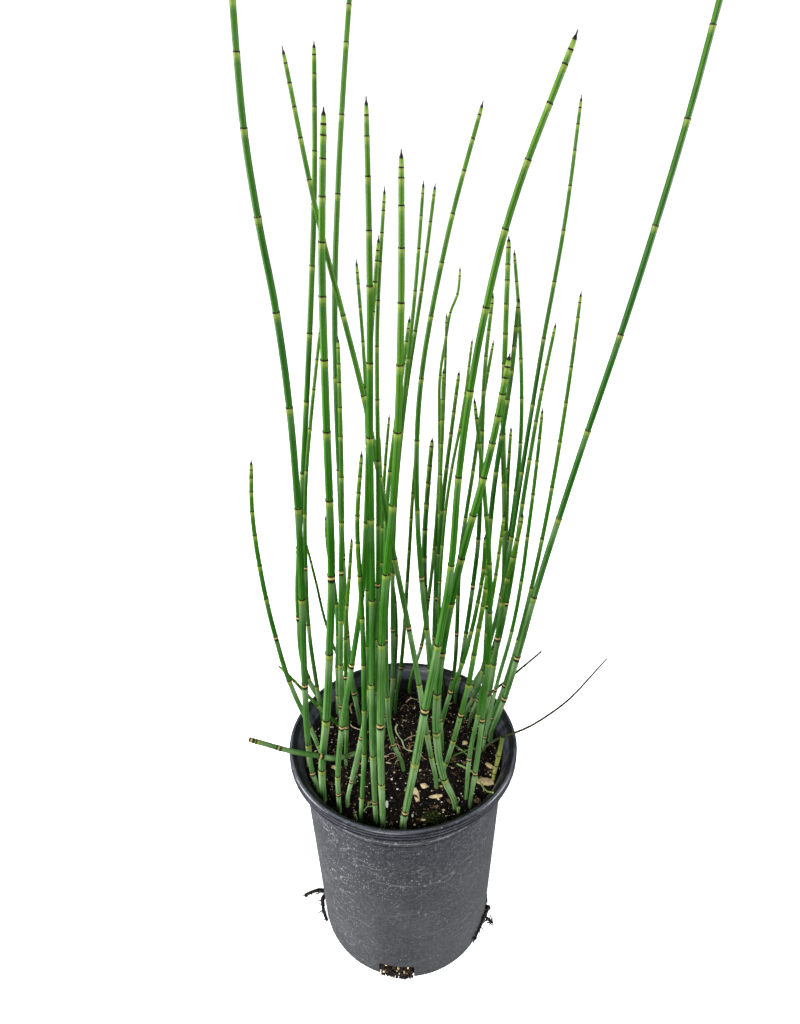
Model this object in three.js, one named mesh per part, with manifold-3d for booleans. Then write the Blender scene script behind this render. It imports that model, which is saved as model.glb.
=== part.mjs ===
import * as THREE from "three";
import { mergeVertices } from "three/addons/utils/BufferGeometryUtils.js";
import Module from "manifold-3d";

// A clump of horsetail growing in a round nursery pot.
// Sizes are in millimetres. +Z is up, and the origin is the centre of the pot's flat base.
// Seen from the front, +X is to the right and +Y is away.

const wasm = await Module();
wasm.setup();

// The pot
const POT_HEIGHT = 186;
const POT_SIDES = 72;
const BASE_RADIUS = 67.8;
const BASE_CHAMFER = 1;
const NECK_RADIUS = 74.3;
const NECK_HEIGHT = 174.5;
const WALL = 1.2;
const FLOOR = 1.5;

// The lip rolls outwards from the neck and slopes down inwards to the wall
const LIP_RADIUS = 83.2;
const LIP_CREST_RADIUS = 81.2;
const LIP_INNER_RADIUS = 76.4;
const LIP_DROP = 8.5;
const LIP_SLOPE = 4.4;
const LIP_ROUND = 1.6;

// Two low bands run round the wall under the lip
const BAND_HEIGHTS = [161, 169];
const BAND_WIDTH = 3;
const BAND_PROUD = 0.4;

// Four drain notches are cut where the wall meets the floor
const DRAIN_COUNT = 4;
const DRAIN_WIDTH = 27;
const DRAIN_HEIGHT = 15;
const DRAIN_DEPTH = 8;
const DRAIN_TURN = -97;

// The soil
const SOIL_TOP = 170;
const SOIL_SIDES = 36;
const SOIL_GAP = 0.45;
const SOIL_RINGS = [62, 51, 40, 29, 18, 8];
const SOIL_BACK = { drop: 3.5, from: 10, to: 70 };
const SOIL_EDGE = { drop: 1.2, from: 58, to: 72 };
const BUMP_COARSE = { height: 1.1, x: 0.16, y: 0.13, turn: 0.9 };
const BUMP_FINE = { height: 0.7, x: 0.33, y: -0.24, turn: 1.7 };

// How a stem sits in the soil
const ROOT_DEPTH = 30;
const COLLAR = 3;
const HOLE_GAP = 0.43;

// How a stem is built
const STEM_STEP = 4;
const UPRIGHT_SPAN = 90;
const LEANING_SPAN = 9;
const THICK_GIRTH = 3.8;
const THICK_SIDES = 5;
const THIN_SIDES = 4;
const ACROSS_AT = [0.1, 0.25, 0.45, 0.65, 0.85, 1];
const SWAY = 9;
const JOINT_SWELL = 1.09;
const JOINT_WAIST = 0.95;
const SHEATH = 1;
const SPIRE = 6.5;
const SPIRE_END = 0.25;
const CLOSEST_TO_TIP = 2.5;
const TIP_TAPER = 1.6;
const FOOT_NARROWING = 0.22;
const FOOT_SHARE = 0.15;
const SEED = 41;

// Points of a geometry closer than this are one point
const WELD = 1e-3;

// How stems that would touch are bent apart
const CLEARANCE = 0.9;
const BEND_REACH = 80;
const BEND_FROM = 34;
const BEND_ROUNDS = 400;
const LEVEL_SHARE = 0.12;
const SAME_HEIGHT = 9;
const FAR_APART = 14;

// The stems, from the front of the clump to the back.
// root is where the stem leaves the soil, x and y.
// height is how far the tip stands above the soil.
// across is x at 10, 25, 45, 65, 85 and 100 % of the height, or at the shares listed in `at`.
// tipY is y at the tip.
// girth is the diameter low down, half-way up and near the tip.
// joints are how far along the stem each joint is above the soil.
const STEMS = [
  {
    root: [-1, -66], height: 437, across: [5, 14, 26, 32, 46, 68], tipY: -77,
    girth: [5.9, 3.5, 2.3], joints: [18, 63, 108, 157, 210, 260, 304, 342, 374, 400, 420, 433],
  },
  {
    root: [-14, -65], height: 400, across: [-14, -13, -9, -1, 3, 4], tipY: -75,
    girth: [4.6, 4, 2.2], joints: [45, 95, 154, 202, 245, 284, 316, 343, 365, 381, 391],
  },
  {
    root: [-19, -62], height: 418, across: [-19, -18, -15, -13, -10, -9], tipY: -72,
    girth: [4, 3.6, 1.9], joints: [23, 66, 125, 183, 233, 278, 315, 349, 371, 391, 405],
  },
  {
    root: [-29, -61], height: 271, across: [-27, -24, -22, -21, -21, -17], tipY: -66,
    girth: [3.5, 2.9, 2], joints: [26, 66, 104, 139, 171, 199, 220, 236, 249, 258],
  },
  {
    root: [-44, -52], height: 367, across: [-43, -36, -23, -16, -12, -6], tipY: -55,
    girth: [3.9, 3.1, 1.7], joints: [19, 36, 83, 131, 179, 227, 272, 297, 318, 337, 350, 359],
  },
  {
    root: [35, -51], height: 314, across: [26, 21, 25, 34, 47, 54], tipY: -54,
    girth: [5.1, 4.4, 2.9], joints: [30, 74, 106, 138, 175, 206, 233, 255, 274, 288, 299, 307],
  },
  {
    root: [45, -50], height: 292, across: [47, 50, 52, 50, 44, 38], tipY: -52,
    girth: [3.8, 2.9, 1.8], joints: [35, 81, 126, 164, 198, 228, 252, 269, 282],
  },
  {
    root: [-39, -48], height: 386, across: [-32, -21, -13, -10, -8, -3], tipY: -50,
    girth: [3.4, 2.6, 1.5], joints: [26, 68, 109, 146, 185, 224, 262, 294, 320, 341, 358, 370, 379],
  },
  {
    root: [43, -44], height: 226, across: [43, 46, 51, 51, 55, 57], tipY: -47,
    girth: [3.3, 2.6, 1.8], joints: [39, 79, 115, 147, 169, 187, 201, 212, 220],
  },
  {
    root: [-56, -41], height: 416, across: [-56, -53, -46, -39, -36, -33, -28], tipY: -40,
    at: [0.05, 0.1, 0.25, 0.45, 0.65, 0.85, 1],
    girth: [5.9, 4.4, 2.7], joints: [28, 74, 129, 184, 233, 273, 310, 340, 364, 383, 398, 407],
  },
  {
    root: [-61, -34], height: 472, across: [-63, -64, -61, -56, -57, -64, -63], tipY: -29,
    at: [0.03, 0.1, 0.25, 0.45, 0.65, 0.85, 1],
    girth: [4.4, 3.9, 2.6], joints: [18, 44, 98, 164, 224, 281, 330, 374, 410, 438, 456],
  },
  {
    root: [23, -33], height: 439, across: [17, 9, -4, -17, -35, -45], tipY: -28,
    girth: [3.9, 3.1, 1.8], joints: [30, 52, 94, 141, 191, 243, 289, 331, 367, 393, 410, 422, 431],
  },
  {
    root: [-35, -29], height: 353, across: [-29, -23, -20, -17, -16, -18], tipY: -23,
    girth: [2.8, 2.3, 1.6], joints: [24, 72, 122, 166, 209, 256, 291, 315, 332, 343],
  },
  {
    root: [28, -23], height: 186, across: [32, 38, 44, 49, 53, 54], tipY: -19,
    girth: [3.8, 3.6, 2.6], joints: [14, 35, 60, 87, 110, 131, 148, 161, 171],
  },
  {
    root: [0, -17], height: 322, across: [-9, -10, -9, -7, 1, 8], tipY: -7,
    girth: [3.6, 2.8, 1.9], joints: [26, 70, 121, 166, 204, 236, 261, 282, 300, 312],
  },
  {
    root: [-19, -13], height: 267, across: [-18, -16, -14, -11, -8, -4], tipY: -4,
    girth: [2.9, 2.4, 1.7], joints: [39, 76, 113, 145, 172, 196, 220, 237, 250],
  },
  {
    root: [-42, -12], height: 188, across: [-41, -39, -38, -36, -32, -29], tipY: -5,
    girth: [3.2, 2.8, 2.1], joints: [9, 40, 82, 113, 139, 159, 171],
  },
  {
    root: [-59, -9], height: 239, across: [-64, -74, -82, -87, -89, -86], tipY: 0,
    girth: [3.7, 3.3, 2.4], joints: [17, 35, 80, 118, 148, 172, 193, 209, 222, 231],
  },
  {
    root: [60, 0], height: 263, across: [62, 69, 78, 82, 85, 86], tipY: 13,
    girth: [3.1, 2.7, 2.1], joints: [14, 57, 107, 147, 180, 209, 231, 246],
  },
  {
    root: [29, 1], height: 420, across: [26, 18, 12, 14, 29, 46], tipY: 22,
    girth: [4.1, 3.2, 2.1], joints: [32, 70, 108, 149, 198, 244, 282, 318, 347, 372, 393, 408],
  },
  {
    root: [25, 6], height: 176, across: [28, 34, 44, 52, 56, 56], tipY: 16,
    girth: [3.6, 3.1, 2.5], joints: [24, 52, 80, 105, 127, 142, 155],
  },
  {
    root: [-47, 7], height: 304, across: [-45, -43, -40, -36, -34, -33], tipY: 25,
    girth: [3.8, 3.4, 2.1], joints: [14, 43, 78, 113, 151, 189, 220, 246, 264, 279, 290],
  },
  {
    root: [66, 10], height: 478, across: [78, 91, 112, 134, 153, 164], tipY: 39,
    girth: [4.9, 3.8, 3.1], joints: [41, 78, 128, 188, 249, 309, 369, 421, 462],
  },
  {
    root: [-22, 12], height: 243, across: [-21, -19, -16, -13, -11, -11], tipY: 27,
    girth: [3, 2.5, 1.8], joints: [14, 46, 86, 126, 159, 185, 207, 222],
  },
  {
    root: [-15, 13], height: 384, across: [-13, -11, -5, 3, 12, 17], tipY: 38,
    girth: [3.5, 2.7, 1.8], joints: [24, 55, 99, 147, 196, 245, 290, 329, 352, 369],
  },
  {
    root: [65, 18], height: 324, across: [73, 84, 95, 102, 106, 109], tipY: 41,
    girth: [3.7, 3, 2], joints: [16, 48, 87, 129, 167, 205, 237, 263, 285, 302, 314],
  },
  {
    root: [63, 25], height: 180, across: [65, 68, 70, 74, 80, 84], tipY: 39,
    girth: [4.3, 3.9, 3.2], joints: [33, 59, 85, 112, 132, 149, 162],
  },
  {
    root: [-62, 27], height: 306, across: [-64, -67, -66, -62, -53, -45], tipY: 52,
    girth: [3.6, 2.8, 2], joints: [39, 94, 141, 181, 212, 241, 267, 286],
  },
  {
    root: [61, 31], height: 424, across: [69, 74, 82, 91, 101, 105], tipY: 67,
    girth: [3.9, 3, 1.9], joints: [22, 66, 111, 160, 208, 254, 296, 330, 359, 383, 401, 414],
  },
  {
    root: [53, 30], height: 303, across: [62, 73, 80, 86, 93, 99], tipY: 55,
    girth: [3.8, 3.2, 2.1], joints: [22, 65, 111, 151, 188, 219, 245, 266, 282],
  },
  {
    root: [-34, 31], height: 482, across: [-39, -40, -39, -37, -28, -19], tipY: 72,
    girth: [4.3, 3.6, 2.6], joints: [30, 84, 148, 211, 272, 328, 379, 419, 453, 470],
  },
  {
    root: [29, 31], height: 294, across: [29, 28, 29, 34, 43, 48], tipY: 56,
    girth: [2.8, 2.4, 1.7], joints: [21, 54, 89, 125, 153, 179, 210, 239, 262, 279],
  },
  {
    root: [-58, 35], height: 452, across: [-74, -74, -65, -54, -45, -41], tipY: 76,
    girth: [4.7, 3.8, 2.5], joints: [43, 100, 154, 209, 260, 304, 344, 378, 406, 428, 444],
  },
  {
    root: [-10, 35], height: 381, across: [-7, -6, -3, 5, 17, 25], tipY: 69,
    girth: [3.6, 2.8, 2], joints: [39, 83, 130, 182, 234, 266, 300, 325, 347, 364],
  },
  {
    root: [50, 36], height: 317, across: [61, 64, 64, 67, 74, 77], tipY: 65,
    girth: [4, 3.6, 2.8], joints: [19, 46, 73, 104, 138, 172, 208, 234, 258, 277, 292, 304],
  },
  {
    root: [57, 35], height: 352, across: [67, 75, 74, 71, 69, 69], tipY: 67,
    girth: [3.8, 3.7, 2.9], joints: [18, 67, 110, 165, 199, 233, 261, 281, 300, 318, 332, 341],
  },
  {
    root: [-6, 41], height: 218, across: [-4, 1, 4, 7, 10, 13], tipY: 62,
    girth: [3.2, 2.8, 2.3], joints: [44, 84, 119, 146, 170, 188, 201, 210],
  },
  {
    root: [54, 42], height: 343, across: [62, 73, 80, 84, 80, 74], tipY: 76,
    girth: [3.7, 3, 2], joints: [7, 54, 106, 151, 189, 224, 255, 281, 302, 318, 329],
  },
  {
    root: [-52, 43], height: 169, across: [-51, -50, -48, -49, -52, -52], tipY: 60,
    girth: [3.7, 3.1, 2.3], joints: [16, 45, 73, 98, 121, 143, 155],
  },
  {
    root: [23, 47], height: 268, across: [25, 27, 28, 31, 37, 42], tipY: 75,
    girth: [3.7, 3.2, 2.5], joints: [32, 67, 103, 139, 172, 204, 228, 243, 255],
  },
  {
    root: [48, 46], height: 230, across: [58, 72, 77, 78, 77, 78], tipY: 71,
    girth: [3.5, 3, 2.3], joints: [22, 59, 106, 141, 168, 191, 207, 219],
  },
  {
    root: [-8, 48], height: 136, across: [-7, -6, -4, -4, -6, -7], tipY: 62,
    girth: [3.7, 3, 2.4], joints: [28, 68, 95, 110, 122],
  },
  {
    root: [31, 53], height: 268, across: [31, 30, 29, 30, 31, 32], tipY: 83,
    girth: [3.4, 2.9, 2.2], joints: [31, 72, 106, 139, 170, 199, 222, 239, 253],
  },
  {
    root: [43, 53], height: 315, across: [47, 53, 58, 59, 60, 64], tipY: 88,
    girth: [3.7, 3.4, 2.3], joints: [24, 63, 106, 146, 189, 227, 255, 278, 295, 306],
  },
  {
    root: [25, 54], height: 303, across: [25, 26, 28, 31, 33, 34], tipY: 88,
    girth: [2.4, 2.2, 1.8], joints: [18, 58, 98, 135, 171, 204, 235, 258, 277, 291],
  },
  {
    root: [38, 57], height: 284, across: [43, 44, 46, 53, 60, 66], tipY: 90,
    girth: [3.6, 3.1, 2.1], joints: [20, 62, 95, 127, 159, 196, 228, 251, 267],
  },
  {
    root: [-36, 57], height: 141, across: [-41, -49, -57, -62, -66, -70], tipY: 73,
    girth: [2.5, 2.2, 1.9], joints: [37, 75, 112, 130],
  },
  {
    root: [24, 61], height: 216, across: [23, 21, 19, 19, 22, 25], tipY: 87,
    girth: [4.2, 4.1, 3.4], joints: [24, 50, 75, 100, 126, 149, 169, 185, 198],
  },
  {
    root: [6, 68], height: 329, across: [15, 22, 28, 31, 30, 35, 38, 43, 44], tipY: 110,
    at: [0.1, 0.25, 0.45, 0.63, 0.75, 0.86, 0.91, 0.95, 1],
    girth: [3.3, 2.6, 1.7], joints: [43, 88, 130, 174, 199, 229, 262, 288, 305, 318],
  },
];

// Pieces that lean far over, or are dry, follow a route instead.
// Each route point is x, y and the height above the soil.
const LEANING = [
  {
    name: "leaning_stem_low",
    girth: [3.6, 3.6, 3.1],
    joints: [30, 52, 75, 103, 117],
    tone: "green",
    blunt: true,
    route: [
      [-32, -4, 0], [-39, -22, 20], [-45, -40, 37], [-49, -48, 46], [-54, -50, 50],
      [-62, -50, 52], [-73, -50, 55], [-89, -51, 63], [-98, -52, 68],
    ],
  },
  {
    name: "leaning_stem_high",
    girth: [2.8, 2.4, 1.8],
    joints: [22, 50, 76, 97],
    tone: "green",
    route: [[-43, 14, 0], [-51, 5, 26], [-58, 1, 39], [-68, 2, 54], [-78, 5, 67], [-88, 8, 78]],
  },
  {
    name: "dry_stalk_long",
    girth: [1.7, 1.5, 1],
    joints: [],
    tone: "dry",
    blunt: true,
    route: [
      [52, -15, 0], [59, -11, 14], [70, -8, 20], [82, -5, 22],
      [93, -2, 25], [108, 3, 32], [122, 8, 41], [149, 18.5, 69.5],
    ],
  },
  {
    name: "dry_stalk_short",
    girth: [2.4, 1.8, 1.2],
    joints: [],
    tone: "dry",
    blunt: true,
    route: [
      [51, 23, 0], [60, 24, 24], [69, 24, 36], [77, 24, 44],
      [85, 25, 52], [95, 26, 62], [103, 27, 70],
    ],
  },
  {
    name: "dry_stub",
    girth: [3.2, 3, 2.9],
    joints: [6, 13.5, 22.5],
    tone: "straw",
    blunt: true,
    route: [[63.8, -27.4, 0], [66.4, -26.4, 19], [69, -24, 38]],
  },
  {
    name: "dead_stem",
    girth: [1.8, 1.5, 1.2],
    joints: [],
    tone: "dry",
    blunt: true,
    route: [[34.5, 60.5, 0], [33.5, 60.2, 24], [31.5, 57.5, 48]],
  },
];

// Roots that come out of the drain notches and cling to the foot of the pot.
// Each route point is x, y and the height above the ground.
const ROOT_SIDES = 5;
const ROOTS = [
  {
    name: "drain_roots_left",
    routes: [
      { girth: [3.2, 3, 2.4], points: [[-67.4, 1, 4], [-73, 2, 5.4], [-80, 1, 4.6], [-87, 0, 1.5]] },
      {
        girth: [3.2, 3, 1.8],
        points: [[-67.4, 0, 3.6], [-71, -3.4, 3], [-70.6, -9, 2.4], [-69.6, -14, 2.2], [-66, -22.4, 1.4]],
      },
    ],
  },
  {
    name: "drain_roots_right",
    routes: [
      {
        girth: [2.6, 2.8, 1.6],
        points: [
          [65.5, -15.3, 5], [68.6, -18.2, 9], [66, -24.2, 13], [63.1, -30.8, 15.5],
          [59.9, -36.7, 15.5], [56.8, -41.2, 13], [54, -44.4, 9],
        ],
      },
      { girth: [2, 1.8, 1.4], points: [[63.6, -29.6, 15], [67, -30.5, 12], [70.5, -30.5, 8]] },
    ],
  },
];

const COLOURS = {
  pot: 0x3d4147,
  soil: 0x241b15,
  front: 0x5f8f5a,
  back: 0x2f6a2a,
  green: 0x55822f,
  dry: 0x3a2f22,
  straw: 0xb29a55,
  roots: 0x15110e,
};
const CLUMP_RADIUS = 70;
const COLOUR_SPREAD = 0.3;
const FINISH = {
  pot: { roughness: 0.55, metalness: 0 },
  soil: { roughness: 0.95, metalness: 0 },
  plant: { roughness: 0.6, metalness: 0 },
};

// Draws numbers from 0 to 1, the same ones every time
THREE.MathUtils.seededRandom(SEED);
const draw = () => THREE.MathUtils.seededRandom();

// Turns a geometry into a solid for cutting and joining
function solidOf(geometry) {
  const bare = geometry.clone();
  bare.deleteAttribute("normal");
  bare.deleteAttribute("uv");
  const merged = mergeVertices(bare, WELD);
  return new wasm.Manifold(
    new wasm.Mesh({
      numProp: 3,
      vertProperties: new Float32Array(merged.attributes.position.array),
      triVerts: new Uint32Array(merged.index.array),
    }),
  );
}

// Turns a solid back into a geometry
function geometryOf(solid) {
  const mesh = solid.getMesh();
  const geometry = new THREE.BufferGeometry();
  geometry.setAttribute("position", new THREE.BufferAttribute(mesh.vertProperties, 3));
  geometry.setIndex(new THREE.BufferAttribute(mesh.triVerts, 1));
  geometry.computeVertexNormals();
  return geometry;
}

// Spins a profile of radius and height about the Z axis
function turned(profile, sides) {
  const points = profile.map(([radius, height]) => new THREE.Vector2(radius, height));
  return new THREE.LatheGeometry(points, sides).rotateX(Math.PI / 2);
}

// The outside radius of the pot's wall at a height
function wallRadius(z) {
  return BASE_RADIUS + ((NECK_RADIUS - BASE_RADIUS) * z) / NECK_HEIGHT;
}

function potSolid() {
  const profile = [
    [0, 0],
    [BASE_RADIUS - BASE_CHAMFER, 0],
    [wallRadius(BASE_CHAMFER), BASE_CHAMFER],
  ];
  for (const z of BAND_HEIGHTS) {
    profile.push([wallRadius(z), z]);
    profile.push([wallRadius(z) + BAND_PROUD, z + BAND_PROUD]);
    profile.push([wallRadius(z) + BAND_PROUD, z + BAND_WIDTH - BAND_PROUD]);
    profile.push([wallRadius(z + BAND_WIDTH), z + BAND_WIDTH]);
  }
  profile.push([NECK_RADIUS, NECK_HEIGHT]);
  profile.push([NECK_RADIUS + LIP_ROUND, NECK_HEIGHT + LIP_ROUND]);
  profile.push([LIP_RADIUS - LIP_ROUND / 2, POT_HEIGHT - LIP_DROP]);
  profile.push([LIP_RADIUS, POT_HEIGHT - LIP_DROP + LIP_ROUND / 2]);
  profile.push([LIP_RADIUS, POT_HEIGHT - LIP_ROUND]);
  profile.push([LIP_RADIUS - LIP_ROUND / 2, POT_HEIGHT - LIP_ROUND / 3]);
  profile.push([LIP_CREST_RADIUS, POT_HEIGHT]);
  profile.push([LIP_CREST_RADIUS - LIP_ROUND, POT_HEIGHT - LIP_ROUND / 3]);
  profile.push([LIP_INNER_RADIUS, POT_HEIGHT - LIP_SLOPE]);
  profile.push([NECK_RADIUS - WALL + LIP_ROUND / 2, NECK_HEIGHT + LIP_ROUND]);
  profile.push([NECK_RADIUS - WALL, NECK_HEIGHT]);
  profile.push([wallRadius(FLOOR + BASE_CHAMFER) - WALL, FLOOR + BASE_CHAMFER]);
  profile.push([BASE_RADIUS - BASE_CHAMFER - WALL, FLOOR]);
  profile.push([0, FLOOR]);

  let solid = solidOf(turned(profile, POT_SIDES));
  for (let i = 0; i < DRAIN_COUNT; i++) {
    const notch = new THREE.BoxGeometry(DRAIN_WIDTH, 2 * DRAIN_DEPTH, 2 * DRAIN_HEIGHT);
    notch.translate(0, -BASE_RADIUS, 0);
    notch.rotateZ(THREE.MathUtils.degToRad(DRAIN_TURN + (i * 360) / DRAIN_COUNT));
    solid = solid.subtract(solidOf(notch));
  }
  return solid;
}

// How much the soil's surface stands above or below its level
function soilBump(x, y) {
  const wave = (bump) => bump.height * Math.sin(bump.x * x + bump.turn) * Math.cos(bump.y * y - bump.turn);
  const dip = (place, { drop, from, to }) => drop * THREE.MathUtils.smoothstep(place, from, to);
  return wave(BUMP_COARSE) + wave(BUMP_FINE) - dip(y, SOIL_BACK) - dip(Math.hypot(x, y), SOIL_EDGE);
}

function soilSolid(stalks) {
  const topRadius = wallRadius(SOIL_TOP) - WALL - SOIL_GAP;
  const bottom = FLOOR + SOIL_GAP;
  const profile = [
    [0, bottom],
    [BASE_RADIUS - BASE_CHAMFER - WALL - SOIL_GAP, bottom],
    [wallRadius(bottom + BASE_CHAMFER) - WALL - SOIL_GAP, bottom + BASE_CHAMFER],
    [topRadius, SOIL_TOP],
    ...SOIL_RINGS.map((radius) => [radius, SOIL_TOP]),
    [0, SOIL_TOP],
  ];
  const geometry = turned(profile, SOIL_SIDES);
  const position = geometry.attributes.position;
  for (let i = 0; i < position.count; i++) {
    if (position.getZ(i) < SOIL_TOP - SOIL_GAP) {
      continue;
    }
    position.setZ(i, SOIL_TOP + soilBump(position.getX(i), position.getY(i)));
  }
  let solid = solidOf(geometry);
  for (const stalk of stalks) {
    const radius = girthAt(stalk.girth, 0) / 2 + HOLE_GAP;
    const hole = turned(
      [
        [0, -ROOT_DEPTH - HOLE_GAP],
        [radius, -ROOT_DEPTH - HOLE_GAP],
        [radius, 2 * COLLAR],
        [0, 2 * COLLAR],
      ],
      stalk.sides,
    );
    hole.translate(stalk.line[0].x, stalk.line[0].y, SOIL_TOP);
    solid = solid.subtract(solidOf(hole));
  }
  return solid;
}

// The route of an upright stem, from the soil to the tip
function uprightRoute({ root, height, across, tipY, at = ACROSS_AT }) {
  const points = [new THREE.Vector3(root[0], root[1], SOIL_TOP)];
  points.push(new THREE.Vector3(root[0], root[1], SOIL_TOP + COLLAR));
  across.forEach((x, i) => {
    const share = at[i];
    const sway = SWAY * (draw() - 0.5) * share * (1 - share) * 4;
    const y = root[1] + (tipY - root[1]) * share + sway;
    points.push(new THREE.Vector3(x, y, SOIL_TOP + height * share));
  });
  return points;
}

// The route of a leaning piece, from the soil to the tip
function leaningRoute({ route }) {
  const points = route.map(([x, y, z]) => new THREE.Vector3(x, y, SOIL_TOP + z));
  const collar = points[0].clone().add(new THREE.Vector3(0, 0, COLLAR));
  return [points[0], collar, ...points.slice(1)];
}

// Points spaced evenly along a smooth curve through the route
function lineOf(points) {
  const curve = new THREE.CatmullRomCurve3(points, false, "centripetal");
  return curve.getSpacedPoints(Math.round(curve.getLength() / STEM_STEP));
}

// The diameter of a stalk at a share of its length. It is narrower where it leaves the soil.
function girthAt([base, middle, tip], share) {
  const foot = FOOT_NARROWING * (1 - THREE.MathUtils.smoothstep(share, 0, FOOT_SHARE));
  const low = (base + (middle - base) * Math.min(2 * share, 1)) * (1 - foot);
  return low + (tip - middle) * Math.max(2 * share - 1, 0) ** TIP_TAPER;
}

// Where two stalks come closest, less the room they need there
function tightest(a, b) {
  let worst = null;
  let first = 0;
  a.line.forEach((p, i) => {
    while (first < b.line.length && b.line[first].z < p.z - SAME_HEIGHT) {
      first += 1;
    }
    for (let j = first; j < b.line.length && b.line[j].z < p.z + SAME_HEIGHT; j++) {
      const q = b.line[j];
      if (Math.abs(p.x - q.x) > FAR_APART || Math.abs(p.y - q.y) > FAR_APART) {
        continue;
      }
      const girths = girthAt(a.girth, i / a.line.length) + girthAt(b.girth, j / b.line.length);
      const need = (girths / 2) * JOINT_SWELL + CLEARANCE;
      const room = p.distanceTo(q) - need;
      if (!worst || room < worst.room) {
        worst = { room, need, p: p.clone(), q: q.clone() };
      }
    }
  });
  return worst;
}

// Moves a stalk sideways in Y, most at one height and not at all in the soil
function bow(stalk, z, shift) {
  for (const p of stalk.line) {
    const away = Math.abs(p.z - z) / BEND_REACH;
    if (away >= 1) {
      continue;
    }
    const hump = (1 + Math.cos(Math.PI * away)) / 2;
    const free = THREE.MathUtils.smoothstep(p.z - SOIL_TOP, COLLAR, BEND_FROM);
    p.y += shift * hump * free;
  }
}

// Bends crossing stalks apart until none touch
function bendClear(stalks) {
  for (let round = 0; round < BEND_ROUNDS; round++) {
    let touching = 0;
    stalks.forEach((a, i) => {
      for (const b of stalks.slice(i + 1)) {
        const worst = tightest(a, b);
        if (!worst || worst.room >= 0) {
          continue;
        }
        touching += 1;
        const apart = worst.p.y - worst.q.y;
        const level = Math.abs(apart) < worst.need * LEVEL_SHARE;
        const order = level ? a.line[0].y - b.line[0].y : apart;
        const across = Math.hypot(worst.p.x - worst.q.x, worst.p.z - worst.q.z);
        const wanted = Math.sqrt(Math.max(worst.need ** 2 - across ** 2, 0));
        const shift = ((wanted - apart * Math.sign(order)) / 2) * Math.sign(order);
        bow(a, worst.p.z, shift);
        bow(b, worst.q.z, -shift);
      }
    });
    if (!touching) {
      break;
    }
  }
}

// The radius of a stalk along its length, with a swollen ring at each joint.
// Its rings are at most `span` apart, so that a sharp bend stays round.
function stalkProfile(stalk, length) {
  const { girth, joints, blunt, span } = stalk;
  const radius = (along) => girthAt(girth, along / length) / 2;
  const profile = [
    [0, -ROOT_DEPTH],
    [radius(0), -ROOT_DEPTH],
    [radius(0), COLLAR],
  ];
  const end = blunt ? length : length - SPIRE;
  const rings = joints.filter((along) => along < end - CLOSEST_TO_TIP);
  let last = COLLAR;
  for (const along of [...rings, end]) {
    const extra = Math.ceil((along - last) / span) - 1;
    for (let i = 1; i <= extra; i++) {
      const between = last + ((along - last) * i) / (extra + 1);
      profile.push([radius(between), between]);
    }
    if (along < end) {
      profile.push([radius(along) * JOINT_SWELL, along]);
      profile.push([radius(along) * JOINT_WAIST, along + SHEATH]);
    }
    last = along + SHEATH;
  }
  profile.push([girth[2] / 2, end]);
  if (!blunt) {
    profile.push([SPIRE_END, length]);
  }
  profile.push([0, length]);
  return profile;
}

// Bends a turned profile along a line, whose first point is at height 0 of the profile.
// Up to the height `straight` the profile stands upright on that point.
function swept(profile, sides, line, straight = -Infinity) {
  const along = [0];
  for (let i = 1; i < line.length; i++) {
    along.push(along[i - 1] + line[i].distanceTo(line[i - 1]));
  }
  const length = along[along.length - 1];
  const at = (distance) => {
    const kept = Math.min(Math.max(distance, 0), length);
    let i = 1;
    while (i < line.length - 1 && along[i] < kept) {
      i += 1;
    }
    const share = (kept - along[i - 1]) / (along[i] - along[i - 1]);
    return line[i - 1].clone().lerp(line[i], share);
  };
  const geometry = turned(profile, sides);
  const position = geometry.attributes.position;
  const up = new THREE.Vector3(0, 0, 1);
  const back = new THREE.Vector3(0, 1, 0);
  for (let i = 0; i < position.count; i++) {
    const distance = position.getZ(i);
    const upright = distance <= straight;
    const centre = upright ? line[0].clone().addScaledVector(up, distance) : at(distance);
    const ahead = upright ? up : at(distance + STEM_STEP).sub(at(distance - STEM_STEP)).normalize();
    const side = new THREE.Vector3().crossVectors(back, ahead).normalize();
    const front = new THREE.Vector3().crossVectors(ahead, side);
    centre.addScaledVector(side, position.getX(i));
    centre.addScaledVector(front, position.getY(i));
    position.setXYZ(i, centre.x, centre.y, centre.z);
  }
  return geometry;
}

function lengthOf(line) {
  return line.slice(1).reduce((sum, p, i) => sum + p.distanceTo(line[i]), 0);
}

function stalkSolid(stalk) {
  const profile = stalkProfile(stalk, lengthOf(stalk.line));
  return solidOf(swept(profile, stalk.sides, stalk.line, COLLAR));
}

function rootSolid({ routes }) {
  const solids = routes.map(({ girth, points }) => {
    const line = lineOf(points.map((point) => new THREE.Vector3(...point)));
    const length = lengthOf(line);
    const steps = Math.round(length / STEM_STEP);
    const profile = [[0, 0]];
    for (let i = 0; i <= steps; i++) {
      profile.push([girthAt(girth, i / steps) / 2, (length * i) / steps]);
    }
    profile.push([0, length]);
    return solidOf(swept(profile, ROOT_SIDES, line));
  });
  return solids.reduce((whole, solid) => whole.add(solid));
}

function meshOf(name, solid, colour, finish) {
  const mesh = new THREE.Mesh(
    geometryOf(solid),
    new THREE.MeshStandardMaterial({ color: colour, ...finish }),
  );
  mesh.name = name;
  return mesh;
}

// Thick stems have more sides than thin ones
function sidesOf(girth) {
  return girth[0] >= THICK_GIRTH ? THICK_SIDES : THIN_SIDES;
}

// Stems at the front are a greyer green than those at the back
function stemColour(root) {
  const depth = (root[1] + CLUMP_RADIUS) / (2 * CLUMP_RADIUS) + COLOUR_SPREAD * (draw() - 0.5);
  const back = new THREE.Color(COLOURS.back);
  return new THREE.Color(COLOURS.front).lerp(back, THREE.MathUtils.clamp(depth, 0, 1));
}

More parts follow.
